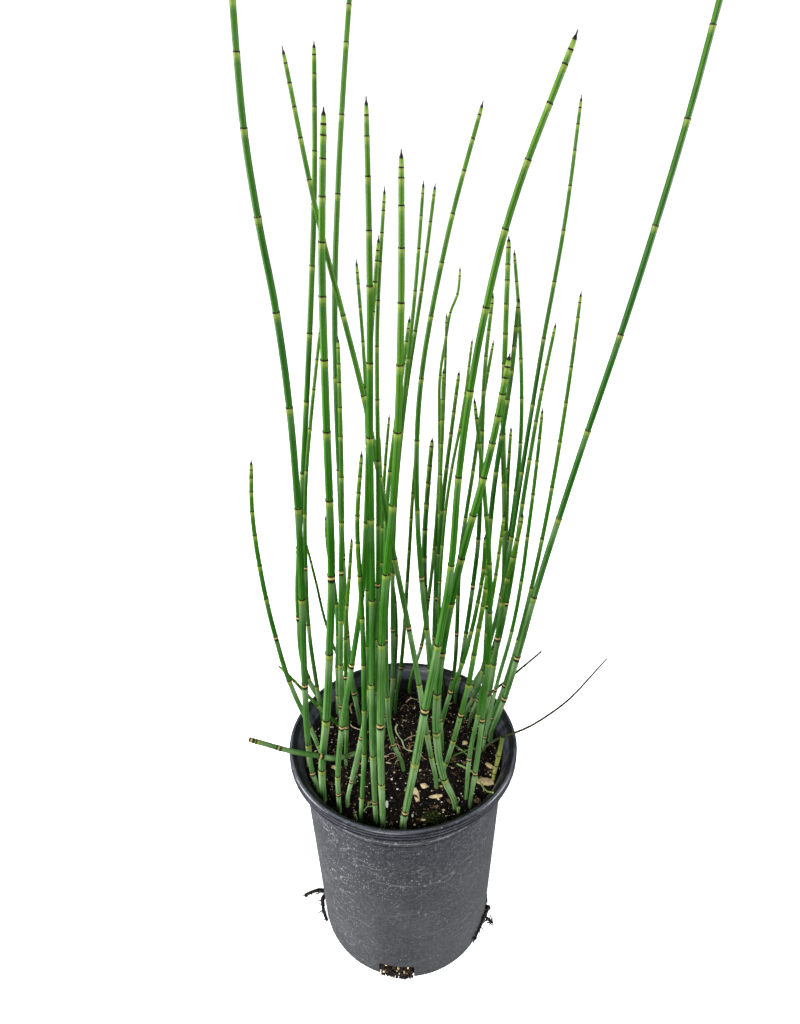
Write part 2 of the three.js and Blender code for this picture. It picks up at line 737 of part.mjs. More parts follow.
const stems = STEMS.map((stem, i) => ({
  name: `stem_${String(i + 1).padStart(2, "0")}`,
  girth: stem.girth,
  joints: stem.joints,
  sides: sidesOf(stem.girth),
  span: UPRIGHT_SPAN,
  line: lineOf(uprightRoute(stem)),
  colour: stemColour(stem.root),
}));
const leaning = LEANING.map((piece) => ({
  ...piece,
  sides: sidesOf(piece.girth),
  span: LEANING_SPAN,
  line: lineOf(leaningRoute(piece)),
  colour: new THREE.Color(COLOURS[piece.tone]),
}));
const stalks = [...stems, ...leaning];
bendClear(stalks);

const plant = new THREE.Group();
plant.name = "potted_horsetail";
plant.add(meshOf("pot", potSolid(), COLOURS.pot, FINISH.pot));
plant.add(meshOf("soil", soilSolid(stalks), COLOURS.soil, FINISH.soil));
for (const stalk of stalks) {
  plant.add(meshOf(stalk.name, stalkSolid(stalk), stalk.colour, FINISH.plant));
}
for (const tuft of ROOTS) {
  plant.add(meshOf(tuft.name, rootSolid(tuft), COLOURS.roots, FINISH.soil));
}

export default plant;
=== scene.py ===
"""A clump of horsetail in a nursery pot: its looks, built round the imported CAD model."""

import logging
import math
import random
from collections.abc import Callable, Iterable, Iterator, Sequence
from contextlib import contextmanager
from dataclasses import dataclass, field
from enum import Enum
from typing import Union

import bmesh
import bpy
import numpy as np
from mathutils import Matrix, Vector, noise


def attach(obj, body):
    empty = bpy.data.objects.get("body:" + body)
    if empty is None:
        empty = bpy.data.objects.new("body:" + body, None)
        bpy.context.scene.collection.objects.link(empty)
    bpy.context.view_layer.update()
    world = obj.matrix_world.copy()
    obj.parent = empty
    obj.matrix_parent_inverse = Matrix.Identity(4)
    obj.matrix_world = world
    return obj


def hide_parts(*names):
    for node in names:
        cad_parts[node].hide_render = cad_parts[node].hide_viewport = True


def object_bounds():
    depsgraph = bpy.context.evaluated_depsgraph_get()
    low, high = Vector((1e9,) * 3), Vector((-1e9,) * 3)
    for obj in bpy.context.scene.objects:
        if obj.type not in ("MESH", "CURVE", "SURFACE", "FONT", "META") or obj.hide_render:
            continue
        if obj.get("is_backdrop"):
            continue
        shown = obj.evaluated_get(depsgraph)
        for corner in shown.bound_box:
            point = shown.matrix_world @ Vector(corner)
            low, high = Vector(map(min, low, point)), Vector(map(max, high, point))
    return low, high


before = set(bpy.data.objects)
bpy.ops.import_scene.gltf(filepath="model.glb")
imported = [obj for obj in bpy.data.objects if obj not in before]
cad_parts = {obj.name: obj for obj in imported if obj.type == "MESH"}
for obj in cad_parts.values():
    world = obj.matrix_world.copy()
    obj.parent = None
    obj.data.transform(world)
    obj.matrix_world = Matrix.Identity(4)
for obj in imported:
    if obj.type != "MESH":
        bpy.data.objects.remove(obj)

CAD_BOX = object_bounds()
LOG = logging.getLogger("horsetail")
MM = 0.001
WELD = 1e-6

Place = tuple[float, float, float]
Paint = tuple[float, float, float]
Pair = tuple[float, float]
Term = Union["Socket", float]


# ---------------------------------------------------------------- shader maths


class Socket:
    """An output of a shader node, which can be added, multiplied and compared like a number."""

    def __init__(self, shader: "Shader", output: bpy.types.NodeSocket) -> None:
        """Keeps a node's output and the shader that the node is part of."""
        self.shader = shader
        self.output = output

    def _math(self, operation: str, first: Term, second: Term) -> "Socket":
        """Adds one Math node of two terms."""
        return self.shader.node("ShaderNodeMath", {"operation": operation}, {0: first, 1: second})

    def __add__(self, other: Term) -> "Socket":
        """Adds a term."""
        return self._math("ADD", self, other)

    def __sub__(self, other: Term) -> "Socket":
        """Takes a term away."""
        return self._math("SUBTRACT", self, other)

    def __rsub__(self, other: Term) -> "Socket":
        """Takes this away from a term."""
        return self._math("SUBTRACT", other, self)

    def __mul__(self, other: Term) -> "Socket":
        """Multiplies by a term."""
        return self._math("MULTIPLY", self, other)

    def __truediv__(self, other: Term) -> "Socket":
        """Divides by a term."""
        return self._math("DIVIDE", self, other)

    def __or__(self, other: Term) -> "Socket":
        """Gives the larger of the two."""
        return self._math("MAXIMUM", self, other)

    def __and__(self, other: Term) -> "Socket":
        """Gives the smaller of the two."""
        return self._math("MINIMUM", self, other)

    def __rtruediv__(self, other: Term) -> "Socket":
        """Divides a term by this."""
        return self._math("DIVIDE", other, self)

    __radd__ = __add__
    __rmul__ = __mul__
    __ror__ = __or__
    __rand__ = __and__

    def rises(self, low: Term, high: Term) -> "Socket":
        """Gives a share that grows smoothly from 0 at a low value to 1 at a high one, or falls."""
        inputs = {"Value": self, "From Min": low, "From Max": high}
        return self.shader.node("ShaderNodeMapRange", {"interpolation_type": "SMOOTHSTEP"}, inputs)

    def within(self, start: Term, full: Term, fade: Term, end: Term) -> "Socket":
        """Gives a share that grows from a start until it is full, and falls from a fade to an end."""
        return self.rises(start, full) * self.rises(end, fade)


class Shader:
    """A material whose nodes are written as expressions."""

    def __init__(self, name: str) -> None:
        """Starts an empty material.

        Args:
            name: The material's name.
        """
        self.material = bpy.data.materials.new(name)
        self.material.use_nodes = True
        self.tree = self.material.node_tree
        self.tree.nodes.clear()

    def node(
        self, kind: str, settings: dict | None = None, inputs: dict | None = None, output: int = 0
    ) -> Socket:
        """Adds a node.

        Args:
            kind: The node's type.
            settings: The node's own settings, such as a Math node's operation.
            inputs: A value or a link for each input, by name or number.
            output: Which output to give back.

        Returns:
            The node's output.
        """
        made = self.tree.nodes.new(kind)
        for key, value in (settings or {}).items():
            setattr(made, key, value)
        for key, value in (inputs or {}).items():
            if isinstance(value, Socket):
                self.tree.links.new(value.output, made.inputs[key])
            else:
                made.inputs[key].default_value = value
        return Socket(self, made.outputs[output])

    def attribute(self, name: str) -> Socket:
        """Reads a number that the mesh holds at each corner of its faces."""
        return self.node("ShaderNodeAttribute", {"attribute_name": name}, output=2)

    def place(self, stretch: Place = (1.0, 1.0, 1.0)) -> Socket:
        """Reads the place of a point on the piece, with each direction multiplied by its stretch."""
        where = self.node("ShaderNodeTexCoord", output=3)
        return self.node("ShaderNodeVectorMath", {"operation": "MULTIPLY"}, {0: where, 1: stretch})

    def along(self, axis: int) -> Socket:
        """Reads one coordinate of a point: 0 is X, 1 is Y and 2 is Z."""
        where = self.node("ShaderNodeTexCoord", output=3)
        return self.node("ShaderNodeSeparateXYZ", None, {0: where}, output=axis)

    def from_axis(self) -> Socket:
        """Reads how far a point is from the upright axis."""
        across = self.place((1.0, 1.0, 0.0))
        return self.node("ShaderNodeVectorMath", {"operation": "LENGTH"}, {0: across}, output=1)

    def noise(self, where: Socket, scale: float, detail: float, roughness: float) -> Socket:
        """Gives a cloudy pattern from 0 to 1, with so many clouds in a metre and finer clouds over them."""
        inputs = {"Vector": where, "Scale": scale, "Detail": detail, "Roughness": roughness}
        return self.node("ShaderNodeTexNoise", None, inputs)

    def lots(self, where: Socket, scale: float) -> Socket:
        """Gives each scattered cell a number of its own, from 0 to 1."""
        colour = self.node("ShaderNodeTexVoronoi", None, {"Vector": where, "Scale": scale}, output=1)
        return self.node("ShaderNodeSeparateColor", None, {0: colour})

    def specks(self, where: Socket, scale: float, near: Pair, some: Pair) -> Socket:
        """Scatters round specks, one in each of some cells.

        Args:
            where: The coordinates.
            scale: Cells in a metre.
            near: How far from a cell's point a speck ends, and within which it is full.
            some: The cell's own number from which a speck shows, and from which it is full.

        Returns:
            The specks.
        """
        away = self.node("ShaderNodeTexVoronoi", None, {"Vector": where, "Scale": scale})
        return away.rises(*near) * self.lots(where, scale).rises(*some)

    def blend(self, share: Term, first: Union[Socket, Paint], second: Union[Socket, Paint]) -> Socket:
        """Mixes two colours.

        Args:
            share: How much of the second colour shows.
            first: The first colour.
            second: The second colour.

        Returns:
            The mixed colour.
        """
        paints = [p if isinstance(p, Socket) else (*p, 1.0) for p in (first, second)]
        settings = {"data_type": "RGBA"}
        return self.node("ShaderNodeMix", settings, {0: share, 6: paints[0], 7: paints[1]}, output=2)

    def bump(self, height: Socket, depth: float, strength: float) -> Socket:
        """Turns a pattern into relief of a depth in metres, of which a share shows."""
        inputs = {"Height": height, "Distance": depth, "Strength": strength}
        return self.node("ShaderNodeBump", None, inputs)

    def surface(self, **inputs: Union[Term, Paint]) -> bpy.types.Material:
        """Ends the material with one surface.

        Args:
            **inputs: The shader's inputs, with an underscore for each space.

        Returns:
            The material.
        """
        spaced = {key.replace("_", " "): value for key, value in inputs.items()}
        shown = self.node("ShaderNodeBsdfPrincipled", None, spaced)
        end = self.tree.nodes.new("ShaderNodeOutputMaterial")
        self.tree.links.new(shown.output, end.inputs["Surface"])
        return self.material


def paint(code: str) -> Paint:
    """Turns a colour written as six hexadecimal digits into the red, green and blue that light has."""
    parts = [int(code[i : i + 2], 16) / 255 for i in (0, 2, 4)]
    return tuple(p / 12.92 if p <= 0.04045 else ((p + 0.055) / 1.055) ** 2.4 for p in parts)


# ---------------------------------------------------------------- finishes


@dataclass(frozen=True)
class PotFinish:
    """Charcoal blow-moulded plastic, dusty and scuffed on the wall, and darker and glossier at the lip."""

    body: Paint = paint("353739")
    cool: Paint = paint("292b32")
    worn: Paint = paint("57595c")
    # Near-black, painted as shade on the inside wall, on the lip and in the grooves.
    inside: Paint = paint("050609")
    # Pale dust, and also a faint painted highlight along each band's upper edge.
    dust_and_highlight: Paint = paint("b9bcbf")
    # Pale blue-grey, painted as highlights along the lip and its grooves.
    painted_highlight: Paint = paint("484c57")
    roughness: float = 0.35

    def material(self, pot: "Pot") -> bpy.types.Material:
        """Makes the plastic of a pot and returns its material."""
        s = Shader("dusty_charcoal_plastic")
        height = s.along(2)
        cloud = s.noise(s.place(), 22.0, 4.0, 0.6)
        grain = s.noise(s.place(), 420.0, 3.0, 0.7)
        drawn = s.noise(s.place((1.0, 1.0, 9.0)), 60.0, 4.0, 0.65)
        upper = height.rises(pot.height * 0.3, pot.height * 0.95)
        colour = s.blend(upper * cloud.rises(0.2, 0.6), self.body, self.cool)
        colour = s.blend(drawn.rises(0.5, 0.9) * 0.3, colour, self.worn)
        colour = s.blend((1.0 - upper) * cloud.rises(0.35, 0.8) * 0.4, colour, self.worn)
        colour = s.blend(grain.rises(0.38, 0.68) * 0.4, colour, self.worn)
        flecks = self._flecks(s, upper)
        colour = s.blend(flecks & 0.85, colour, self.dust_and_highlight)
        colour = self._bands(s, pot, colour, drawn)
        lip = height.rises(pot.neck_height, pot.neck_height + pot.lip_round)
        depth = height * ((pot.neck - pot.base) / pot.neck_height) + pot.base - s.from_axis()
        inner = depth.rises(pot.wall * 0.3, pot.wall * 0.8)
        rim = lip * s.from_axis().rises(pot.crest - 0.9 * MM, pot.crest + 0.3 * MM)
        # Painted shade: the lip goes towards near-black, most on its inner slope and less on its outer
        # face, and the inside wall goes near-black.
        shaded = (lip * 0.88 - rim * 0.4) | (inner * height.rises(0.01, 0.02))
        colour = s.blend(shaded, colour, self.inside)
        colour = self._grooves(s, pot, colour, rim, drawn)
        # Painted highlight along the lip's inner edge.
        edge = s.from_axis().rises(pot.lip_inner + 1.4 * MM, pot.lip_inner + 0.6 * MM)
        edge = edge * lip * (1.0 - inner)
        colour = s.blend(edge * drawn.rises(0.3, 0.6) * 0.6, colour, self.painted_highlight)
        rough = cloud * 0.14 + flecks * 0.3 + self.roughness - lip * 0.1 + inner * 0.3
        normal = s.bump(grain * 0.5 + drawn * 0.8 + flecks * 1.2, 0.00012, 0.5)
        return s.surface(Base_Color=colour, Roughness=rough, Normal=normal, Specular_IOR_Level=0.3)

    def _flecks(self, s: Shader, upper: Socket) -> Socket:
        """Gives the fine and coarse specks of dust, and the rings that drops of water left.

        Args:
            s: The shader.
            upper: How far up the pot a point is.

        Returns:
            How dusty a point is.
        """
        where = s.place()
        left = s.along(0).rises(0.05, -0.06)
        patch = s.noise(where, 35.0, 3.0, 0.7).rises(0.36, 0.62)
        fine = s.specks(where, 620.0, (0.36, 0.14), (0.55, 0.75))
        coarse = s.specks(where, 210.0, (0.19, 0.09), (0.68, 0.76))
        wavy = s.noise(s.place((0.5, 0.5, 1.4)), 75.0, 1.0, 0.5)
        ring = ((wavy - 0.5) | (0.5 - wavy)).rises(0.014, 0.003) * patch * 0.3
        dusty = (left * 0.5 + 0.5) * (upper * 0.5 + 0.5)
        return (fine * (patch * 0.4 + 0.3) | coarse * (patch * 0.6 + 0.3) | ring) * dusty

    def _bands(self, s: Shader, pot: "Pot", colour: Socket, drawn: Socket) -> Socket:
        """Paints shade in the groove under each band and the neck, and a highlight on each band's top edge.

        Args:
            s: The shader.
            pot: The pot.
            colour: The colour so far.
            drawn: A pattern drawn out round the pot.

        Returns:
            The colour with its bands.
        """
        height = s.along(2)
        for low in (*pot.bands, pot.neck_height):
            # Painted shade in each groove.
            groove = height.within(low - 1.6 * MM, low - 0.5 * MM, low - 0.1 * MM, low + 0.3 * MM)
            colour = s.blend(groove * 0.7, colour, self.inside)
        for high in (low + pot.band_width for low in pot.bands):
            # A faint painted highlight along the band's upper edge.
            edge = height.within(high - 0.8 * MM, high - 0.3 * MM, high, high + 0.4 * MM)
            colour = s.blend(edge * drawn.rises(0.42, 0.62) * 0.16, colour, self.dust_and_highlight)
        return colour

    def _grooves(self, s: Shader, pot: "Pot", colour: Socket, rim: Socket, drawn: Socket) -> Socket:
        """Paints the fine grooves round the lip as lines of shade, each with a highlight above it.

        Args:
            s: The shader.
            pot: The pot.
            colour: The colour so far.
            rim: Where the outside of the lip is.
            drawn: A pattern drawn out round the pot.

        Returns:
            The colour with its grooves.
        """
        height = s.along(2)
        for low in pot.lip_grooves:
            # Painted shade in each groove, and a painted highlight above it.
            cut = height.within(low - 0.7 * MM, low - 0.2 * MM, low + 0.2 * MM, low + 0.7 * MM)
            glint = height.within(low + 0.5 * MM, low + 0.9 * MM, low + 1.2 * MM, low + 1.9 * MM)
            colour = s.blend(cut * rim * 0.85, colour, self.inside)
            colour = s.blend(glint * rim * drawn.rises(0.32, 0.6) * 0.8, colour, self.painted_highlight)
        return colour


@dataclass(frozen=True)
class SoilFinish:
    """Damp black-brown peat, with pale specks of perlite dust and of painted wet sparkle."""

    deep: Paint = paint("030202")
    damp: Paint = paint("0b0805")
    crumb: Paint = paint("2c1e14")
    # Pale specks: partly perlite dust, partly painted sparkle of the wet peat.
    dust_and_sparkle: Paint = paint("c9bfae")

    def material(self) -> bpy.types.Material:
        """Makes the peat and returns its material."""
        s = Shader("damp_peat")
        where = s.place()
        clod = s.noise(where, 260.0, 6.0, 0.7)
        grain = s.lots(where, 900.0)
        colour = s.blend(clod.rises(0.35, 0.65), self.deep, self.damp)
        colour = s.blend(grain.rises(0.78, 0.97) * 0.7, colour, self.crumb)
        # Pale specks, partly perlite dust and partly painted sparkle of the wet peat.
        bright = s.specks(where, 620.0, (0.2, 0.1), (0.84, 0.9))
        colour = s.blend(bright * 0.75, colour, self.dust_and_sparkle)
        relief = clod + s.noise(where, 1500.0, 3.0, 0.7) * 0.5
        rough = 1.0 - clod.rises(0.2, 0.8) * 0.4
        normal = s.bump(relief, 0.0006, 0.8)
        return s.surface(Base_Color=colour, Roughness=rough, Normal=normal, Specular_IOR_Level=0.12)


@dataclass(frozen=True)
class CrumbFinish:
    """One sort of loose bit in the soil, with its own two colours and darker stains."""

    name: str
    pale: Paint
    dark: Paint
    stain: Paint = paint("1c120c")
    stained: float = 0.35
    grain: float = 0.0
    roughness: float = 0.8

    def material(self) -> bpy.types.Material:
        """Makes the finish and returns its material."""
        s = Shader(self.name)
        where = s.place()
        own = s.attribute("own")
        cloud = s.noise(where, 420.0, 4.0, 0.65)
        fibre = s.noise(s.place((1.0, 0.35, 2.2)), 1400.0, 3.0, 0.6)
        colour = s.blend((own * 0.75 + cloud * 0.5 - 0.12).rises(0.0, 1.0), self.pale, self.dark)
        colour = s.blend(fibre.rises(0.45, 0.8) * self.grain, colour, self.dark)
        colour = s.blend(cloud.rises(0.52, 0.75) * self.stained, colour, self.stain)
        relief = cloud + fibre * self.grain
        rough = cloud * 0.1 + self.roughness
        normal = s.bump(relief, 0.0003, 0.7)
        return s.surface(Base_Color=colour, Roughness=rough, Normal=normal, Specular_IOR_Level=0.2)


@dataclass(frozen=True)
class StemFinish:
    """Waxy ribbed green with a dark rim and a pale band at each joint, and a black point."""

    deep: Paint = paint("083a02")
    middle: Paint = paint("265a0f")
    lime: Paint = paint("4b7018")
    waxy: Paint = paint("819a70")
    band: Paint = paint("8c9a4a")
    cream: Paint = paint("a3935e")
    rust: Paint = paint("5c3a1e")
    black: Paint = paint("120d0a")
    scar: Paint = paint("3a2e1c")
    roughness: float = 0.38

    def material(self) -> bpy.types.Material:
        """Makes the green and returns its material."""
        s = Shader("waxy_ribbed_green")
        streak = s.noise(s.place((1.0, 1.0, 0.04)), 2600.0, 2.0, 0.5)
        mottle = s.noise(s.place((1.0, 1.0, 0.35)), 90.0, 4.0, 0.6)
        share, shade, tone = s.attribute("share"), s.attribute("shade"), s.attribute("tone")
        colour = s.blend(shade, self.middle, self.deep)
        young = (share.rises(0.45, 1.0) * 0.7 + tone * 0.6) & 1.0 | 0.0
        colour = s.blend(young, colour, self.lime)
        colour = s.blend(mottle.rises(0.42, 0.72) * 0.6, colour, self.deep)
        bloom = (1.0 - shade) * share.rises(0.5, 0.02) * s.attribute("bloom")
        colour = s.blend((bloom * (streak.rises(0.3, 0.65) * 0.7 + 0.3)) & 1.0, colour, self.waxy)
        colour = s.blend(streak.rises(0.45, 0.75) * 0.25, colour, self.lime)
        # Painted shade: the furrows between the ribs are darkened towards the deep green.
        colour = s.blend(s.attribute("furrow") * 0.7, colour, self.deep)
        colour = self._joints(s, colour, streak, mottle)
        pits = s.noise(s.place((1.0, 1.0, 0.5)), 520.0, 3.0, 0.7).rises(0.60, 0.68)
        colour = s.blend(pits * s.attribute("wear"), colour, self.scar)
        rough = mottle * 0.12 + self.roughness
        normal = s.bump(streak * 0.6 + mottle * 0.4, 0.00012, 0.5)
        return s.surface(Base_Color=colour, Roughness=rough, Normal=normal, Specular_IOR_Level=0.1)

    def _joints(self, s: Shader, colour: Socket, streak: Socket, mottle: Socket) -> Socket:
        """Paints the joints. Fresh ones fade to the green, and old ones have a cream band on a black foot.

        Args:
            s: The shader.
            colour: The green.
            streak: A pattern of fine upright lines.
            mottle: A cloudy pattern.

        Returns:
            The colour with its joints.
        """
        age, share, girth = s.attribute("age"), s.attribute("share"), s.attribute("girth")
        ragged = (streak - 0.5) * 0.5 + (mottle - 0.5) * 0.7
        below = s.attribute("reach") / (girth * 0.2 + 0.3) + ragged
        old = age.rises(0.5, 0.66)
        dusty = below.within(3.2, 4.2, 6.0, 20.0) * share.rises(0.8, 0.1)
        colour = s.blend(dusty * 0.3, colour, self.waxy)
        fresh = below.rises(5.2, 0.9) * (1.0 - old) * (0.52 - share * 0.16)
        colour = s.blend(fresh, colour, self.band)
        colour = s.blend(below.rises(2.2, 1.8) * old * 0.85, colour, self.cream)
        foot = below.within(1.7, 2.0, 3.2, 3.7) * old
        colour = s.blend(foot * 0.95, colour, self.black)
        colour = s.blend(below.rises(1.2, 0.5) * (age * 0.5 + 0.08), colour, self.rust)
        line = 0.46 - share.rises(0.15, 0.6) * 0.07
        rim = below.rises(line + 0.14, line - 0.02)
        colour = s.blend(rim * (mottle.rises(0.30, 0.42) | share), colour, self.black)
        # Painted shade: the foot of each shaft, just above the joint below, is darkened a little.
        colour = s.blend(s.attribute("rise").rises(0.24, 0.1), colour, self.black)
        # The black point, and the painted shade in the hollow of a broken end.
        return s.blend(s.attribute("spire"), colour, self.black)


@dataclass(frozen=True)
class DryFinish:
    """A dried stalk, with lengthwise grain, dark blotches and dark marks at its joints."""

    name: str
    pale: Paint
    dark: Paint
    mark: Paint = paint("1a120b")

    def material(self) -> bpy.types.Material:
        """Makes the dry finish and returns its material."""
        s = Shader(self.name)
        streak = s.noise(s.place((1.0, 1.0, 0.1)), 1600.0, 3.0, 0.6)
        cloud = s.noise(s.place(), 130.0, 4.0, 0.6)
        share, reach = s.attribute("share"), s.attribute("reach")
        colour = s.blend((cloud * 0.7 + share * 0.5).rises(0.3, 0.8), self.pale, self.dark)
        colour = s.blend(streak.rises(0.45, 0.75) * 0.6, colour, self.dark)
        colour = s.blend(reach.rises(0.9, 0.4) * 0.9, colour, self.mark)
        colour = s.blend(cloud.rises(0.62, 0.75) * 0.5, colour, self.mark)
        rough = streak * 0.15 + 0.6
        normal = s.bump(streak, 0.0002, 0.7)
        return s.surface(Base_Color=colour, Roughness=rough, Normal=normal, Specular_IOR_Level=0.2)


@dataclass(frozen=True)
class FloorFinish:
    """A pale, even floor."""

    pale: Paint = (0.93, 0.93, 0.93)
    glow: float = 0.85

    def material(self) -> bpy.types.Material:
        """Makes the floor and returns its material."""
        s = Shader("pale_floor")
        tone = s.noise(s.place(), 3.0, 2.0, 0.5)
        colour = s.blend(tone * 0.15, self.pale, (0.9, 0.9, 0.9))
        glow = {"Emission_Color": (1.0, 1.0, 1.0, 1.0), "Emission_Strength": self.glow}
        return s.surface(Base_Color=colour, Roughness=0.8, **glow)


# ---------------------------------------------------------------- modelling by hand


def only(piece: bpy.types.Object) -> None:
    """Makes a piece the only one that is selected."""
    bpy.ops.object.select_all(action="DESELECT")
    piece.select_set(True)
    bpy.context.view_layer.objects.active = piece


@contextmanager
def editing(piece: bpy.types.Object) -> Iterator[None]:
    """Opens a piece in edit mode with nothing selected, and closes it again.

    Args:
        piece: The piece.

    Yields:
        Nothing.
    """
    only(piece)
    bpy.ops.object.mode_set(mode="EDIT")
    bpy.ops.mesh.select_mode(type="VERT")
    bpy.ops.mesh.select_all(action="DESELECT")
    yield
    bpy.ops.object.mode_set(mode="OBJECT")


def pick(piece: bpy.types.Object, wanted: Callable[[Vector], bool]) -> None:
    """Selects the points of a piece in edit mode that lie where they are wanted.

    Args:
        piece: The piece.
        wanted: Says whether a point at a place is wanted.
    """
    mesh = bmesh.from_edit_mesh(piece.data)
    for point in mesh.verts:
        point.select = wanted(point.co)
    mesh.select_flush_mode()
    bmesh.update_edit_mesh(piece.data)


def pick_edges(piece: bpy.types.Object, wanted: Callable[[Vector, Vector], bool]) -> None:
    """Selects the edges of a piece in edit mode whose ends lie where they are wanted.

    Args:
        piece: The piece.
        wanted: Says whether an edge between two places is wanted.
    """
    mesh = bmesh.from_edit_mesh(piece.data)
    for edge in mesh.edges:
        edge.select_set(wanted(*(end.co for end in edge.verts)))
    bmesh.update_edit_mesh(piece.data)


def named(name: str) -> bpy.types.Object:
    """Names the active piece and its mesh, and returns it."""
    piece = bpy.context.object
    piece.name = name
    piece.data.name = name
    return piece


def started(name: str, kind: str, **sizes: object) -> bpy.types.Object:
    """Starts a piece from a primitive and puts the primitive's place into its mesh.

    Args:
        name: The piece's name.
        kind: Which primitive.
        **sizes: The primitive's sizes and place.

    Returns:
        The piece.
    """
    bpy.ops.object.select_all(action="DESELECT")
    getattr(bpy.ops.mesh, f"primitive_{kind}_add")(**sizes)
    piece = named(name)
    bpy.ops.object.transform_apply(location=True)
    return piece


def raise_rings(start: Pair, rings: Iterable[Pair]) -> None:
    """Extrudes the selected ring of a piece in edit mode up or down, ring by ring.

    Args:
        start: The radius and height of the selected ring.
        rings: The radius and height of each new ring.
    """
    wide, high = start
    for radius, height in rings:
        bpy.ops.mesh.extrude_edges_move(TRANSFORM_OT_translate={"value": (0, 0, height - high)})
        share = radius / wide
        bpy.ops.transform.resize(value=(share, share, 1), center_override=(0, 0, height))
        wide, high = radius, height


def turn_outwards() -> None:
    """Turns every face of the piece in edit mode outwards."""
    bpy.ops.mesh.select_all(action="SELECT")
    bpy.ops.mesh.normals_make_consistent(inside=False)


def shade_smooth(piece: bpy.types.Object, sharpest: float) -> None:
    """Shades a piece smooth where its faces meet at less than an angle in degrees."""
    only(piece)
    bpy.ops.object.shade_smooth_by_angle(angle=math.radians(sharpest))


def spun(angle: float, axis: str = "Z") -> Matrix:
    """Gives a turn about an axis."""
    return Matrix.Rotation(angle, 4, axis)


def whirl(draws: random.Random) -> float:
    """Draws an angle anywhere in a full turn."""
    return draws.uniform(0, math.tau)


def modify(piece: bpy.types.Object, kind: str, **settings: object) -> None:
    """Puts a modifier on a piece and applies it.

    Args:
        piece: The piece.
        kind: The modifier's type.
        **settings: The modifier's settings.
    """
    only(piece)
    modifier = piece.modifiers.new(kind.title(), kind)
    for key, value in settings.items():
        setattr(modifier, key, value)
    bpy.ops.object.modifier_apply(modifier=modifier.name)


def copied(piece: bpy.types.Object, move: Matrix) -> bpy.types.Object:
    """Copies a piece with a mesh of its own.

    Args:
        piece: The piece to copy.
        move: Where the copy goes.

    Returns:
        The copy.
    """
    copy = piece.copy()
    copy.data = piece.data.copy()
    copy.data.transform(move)
    bpy.context.scene.collection.objects.link(copy)
    return copy


def joined(name: str, pieces: list[bpy.types.Object]) -> bpy.types.Object:
    """Joins pieces into one.

    Args:
        name: The joined piece's name.
        pieces: The pieces.

    Returns:
        The joined piece.
    """
    only(pieces[0])
    for piece in pieces:
        piece.select_set(True)
    bpy.ops.object.join()
    return named(name)


def removed(*pieces: bpy.types.Object) -> None:
    """Takes pieces that were only patterns for others out of the scene."""
    for piece in pieces:
        bpy.data.objects.remove(piece, do_unlink=True)


def points_of(piece: bpy.types.Object) -> np.ndarray:
    """Gives the places of a piece's points, as rows of three."""
    places = np.empty(len(piece.data.vertices) * 3, np.float32)
    piece.data.vertices.foreach_get("co", places)
    return places.reshape(-1, 3).astype(float)


def set_points(piece: bpy.types.Object, places: np.ndarray) -> None:
    """Moves a piece's points to new places, given as rows of three."""
    piece.data.vertices.foreach_set("co", places.astype(np.float32).ravel())
    piece.data.update()


def mark(piece: bpy.types.Object, name: str, values: Union[np.ndarray, float]) -> None:
    """Keeps a number at each corner of a piece's faces for its material to read.

    Two faces that meet at a seam can so hold different numbers there.

    Args:
        piece: The piece.
        name: The number's name.
        values: One value for each point, or one for all.
    """
    corners = np.empty(len(piece.data.loops), np.int32)
    piece.data.loops.foreach_get("vertex_index", corners)
    found = piece.data.attributes.get(name)
    kept = found or piece.data.attributes.new(name, "FLOAT", "CORNER")
    each = np.broadcast_to(values, len(piece.data.vertices))
    kept.data.foreach_set("value", each[corners].astype(np.float32))


def turned(name: str, profile: list[Pair], sides: int) -> bpy.types.Object:
    """Raises a round piece ring by ring and closes it at both ends.

    Args:
        name: The piece's name.
        profile: The radius and height of each ring.
        sides: Points in a ring.

    Returns:
        The piece.
    """
    first, *others = profile
    piece = started(name, "circle", vertices=sides, radius=first[0], location=(0, 0, first[1]))
    with editing(piece):
        bpy.ops.mesh.select_all(action="SELECT")
        close_ring(first[0])
        pick(piece, lambda co: co.xy.length > first[0] * 0.9)
        raise_rings(first, others)
        close_ring(profile[-1][0])
        turn_outwards()
    return piece


def close_ring(radius: float) -> None:
    """Closes the selected ring of a piece in edit mode, which has this radius, with a fan of faces."""
    bpy.ops.mesh.edge_face_add()
    bpy.ops.mesh.inset(thickness=radius * 0.5)
    bpy.ops.mesh.merge(type="CENTER")


def curve(name: str, places: Sequence[Place], steps: int) -> bpy.types.Object:
    """Draws a smooth line through places.

    Args:
        name: The line's name.
        places: The places, in metres.
        steps: How many straight pieces the line has between two places.

    Returns:
        The line.
    """
    data = bpy.data.curves.new(name, "CURVE")
    data.dimensions = "3D"
    data.twist_mode = "MINIMUM"
    data.resolution_u = steps
    spline = data.splines.new("BEZIER")
    spline.bezier_points.add(len(places) - 1)
    for point, place in zip(spline.bezier_points, places):
        point.co = place
        point.handle_left_type = point.handle_right_type = "AUTO"
    line = bpy.data.objects.new(name, data)
    bpy.context.scene.collection.objects.link(line)
    return line


def finish(piece: bpy.types.Object, material: bpy.types.Material, slot: str, *nodes: str) -> None:
    """Dresses a piece, hangs it under the root body and hides the CAD nodes that it stands for.

    Args:
        piece: The piece.
        material: Its material.
        slot: The name of the record's material slot. It is not used.
        *nodes: The CAD nodes that it stands for.
    """
    piece.data.materials.clear()
    piece.data.materials.append(material)
    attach(piece, "root")
    if nodes:
        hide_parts(*nodes)
    LOG.info("%s: %d faces", piece.name, len(piece.data.polygons))


# ---------------------------------------------------------------- the stems


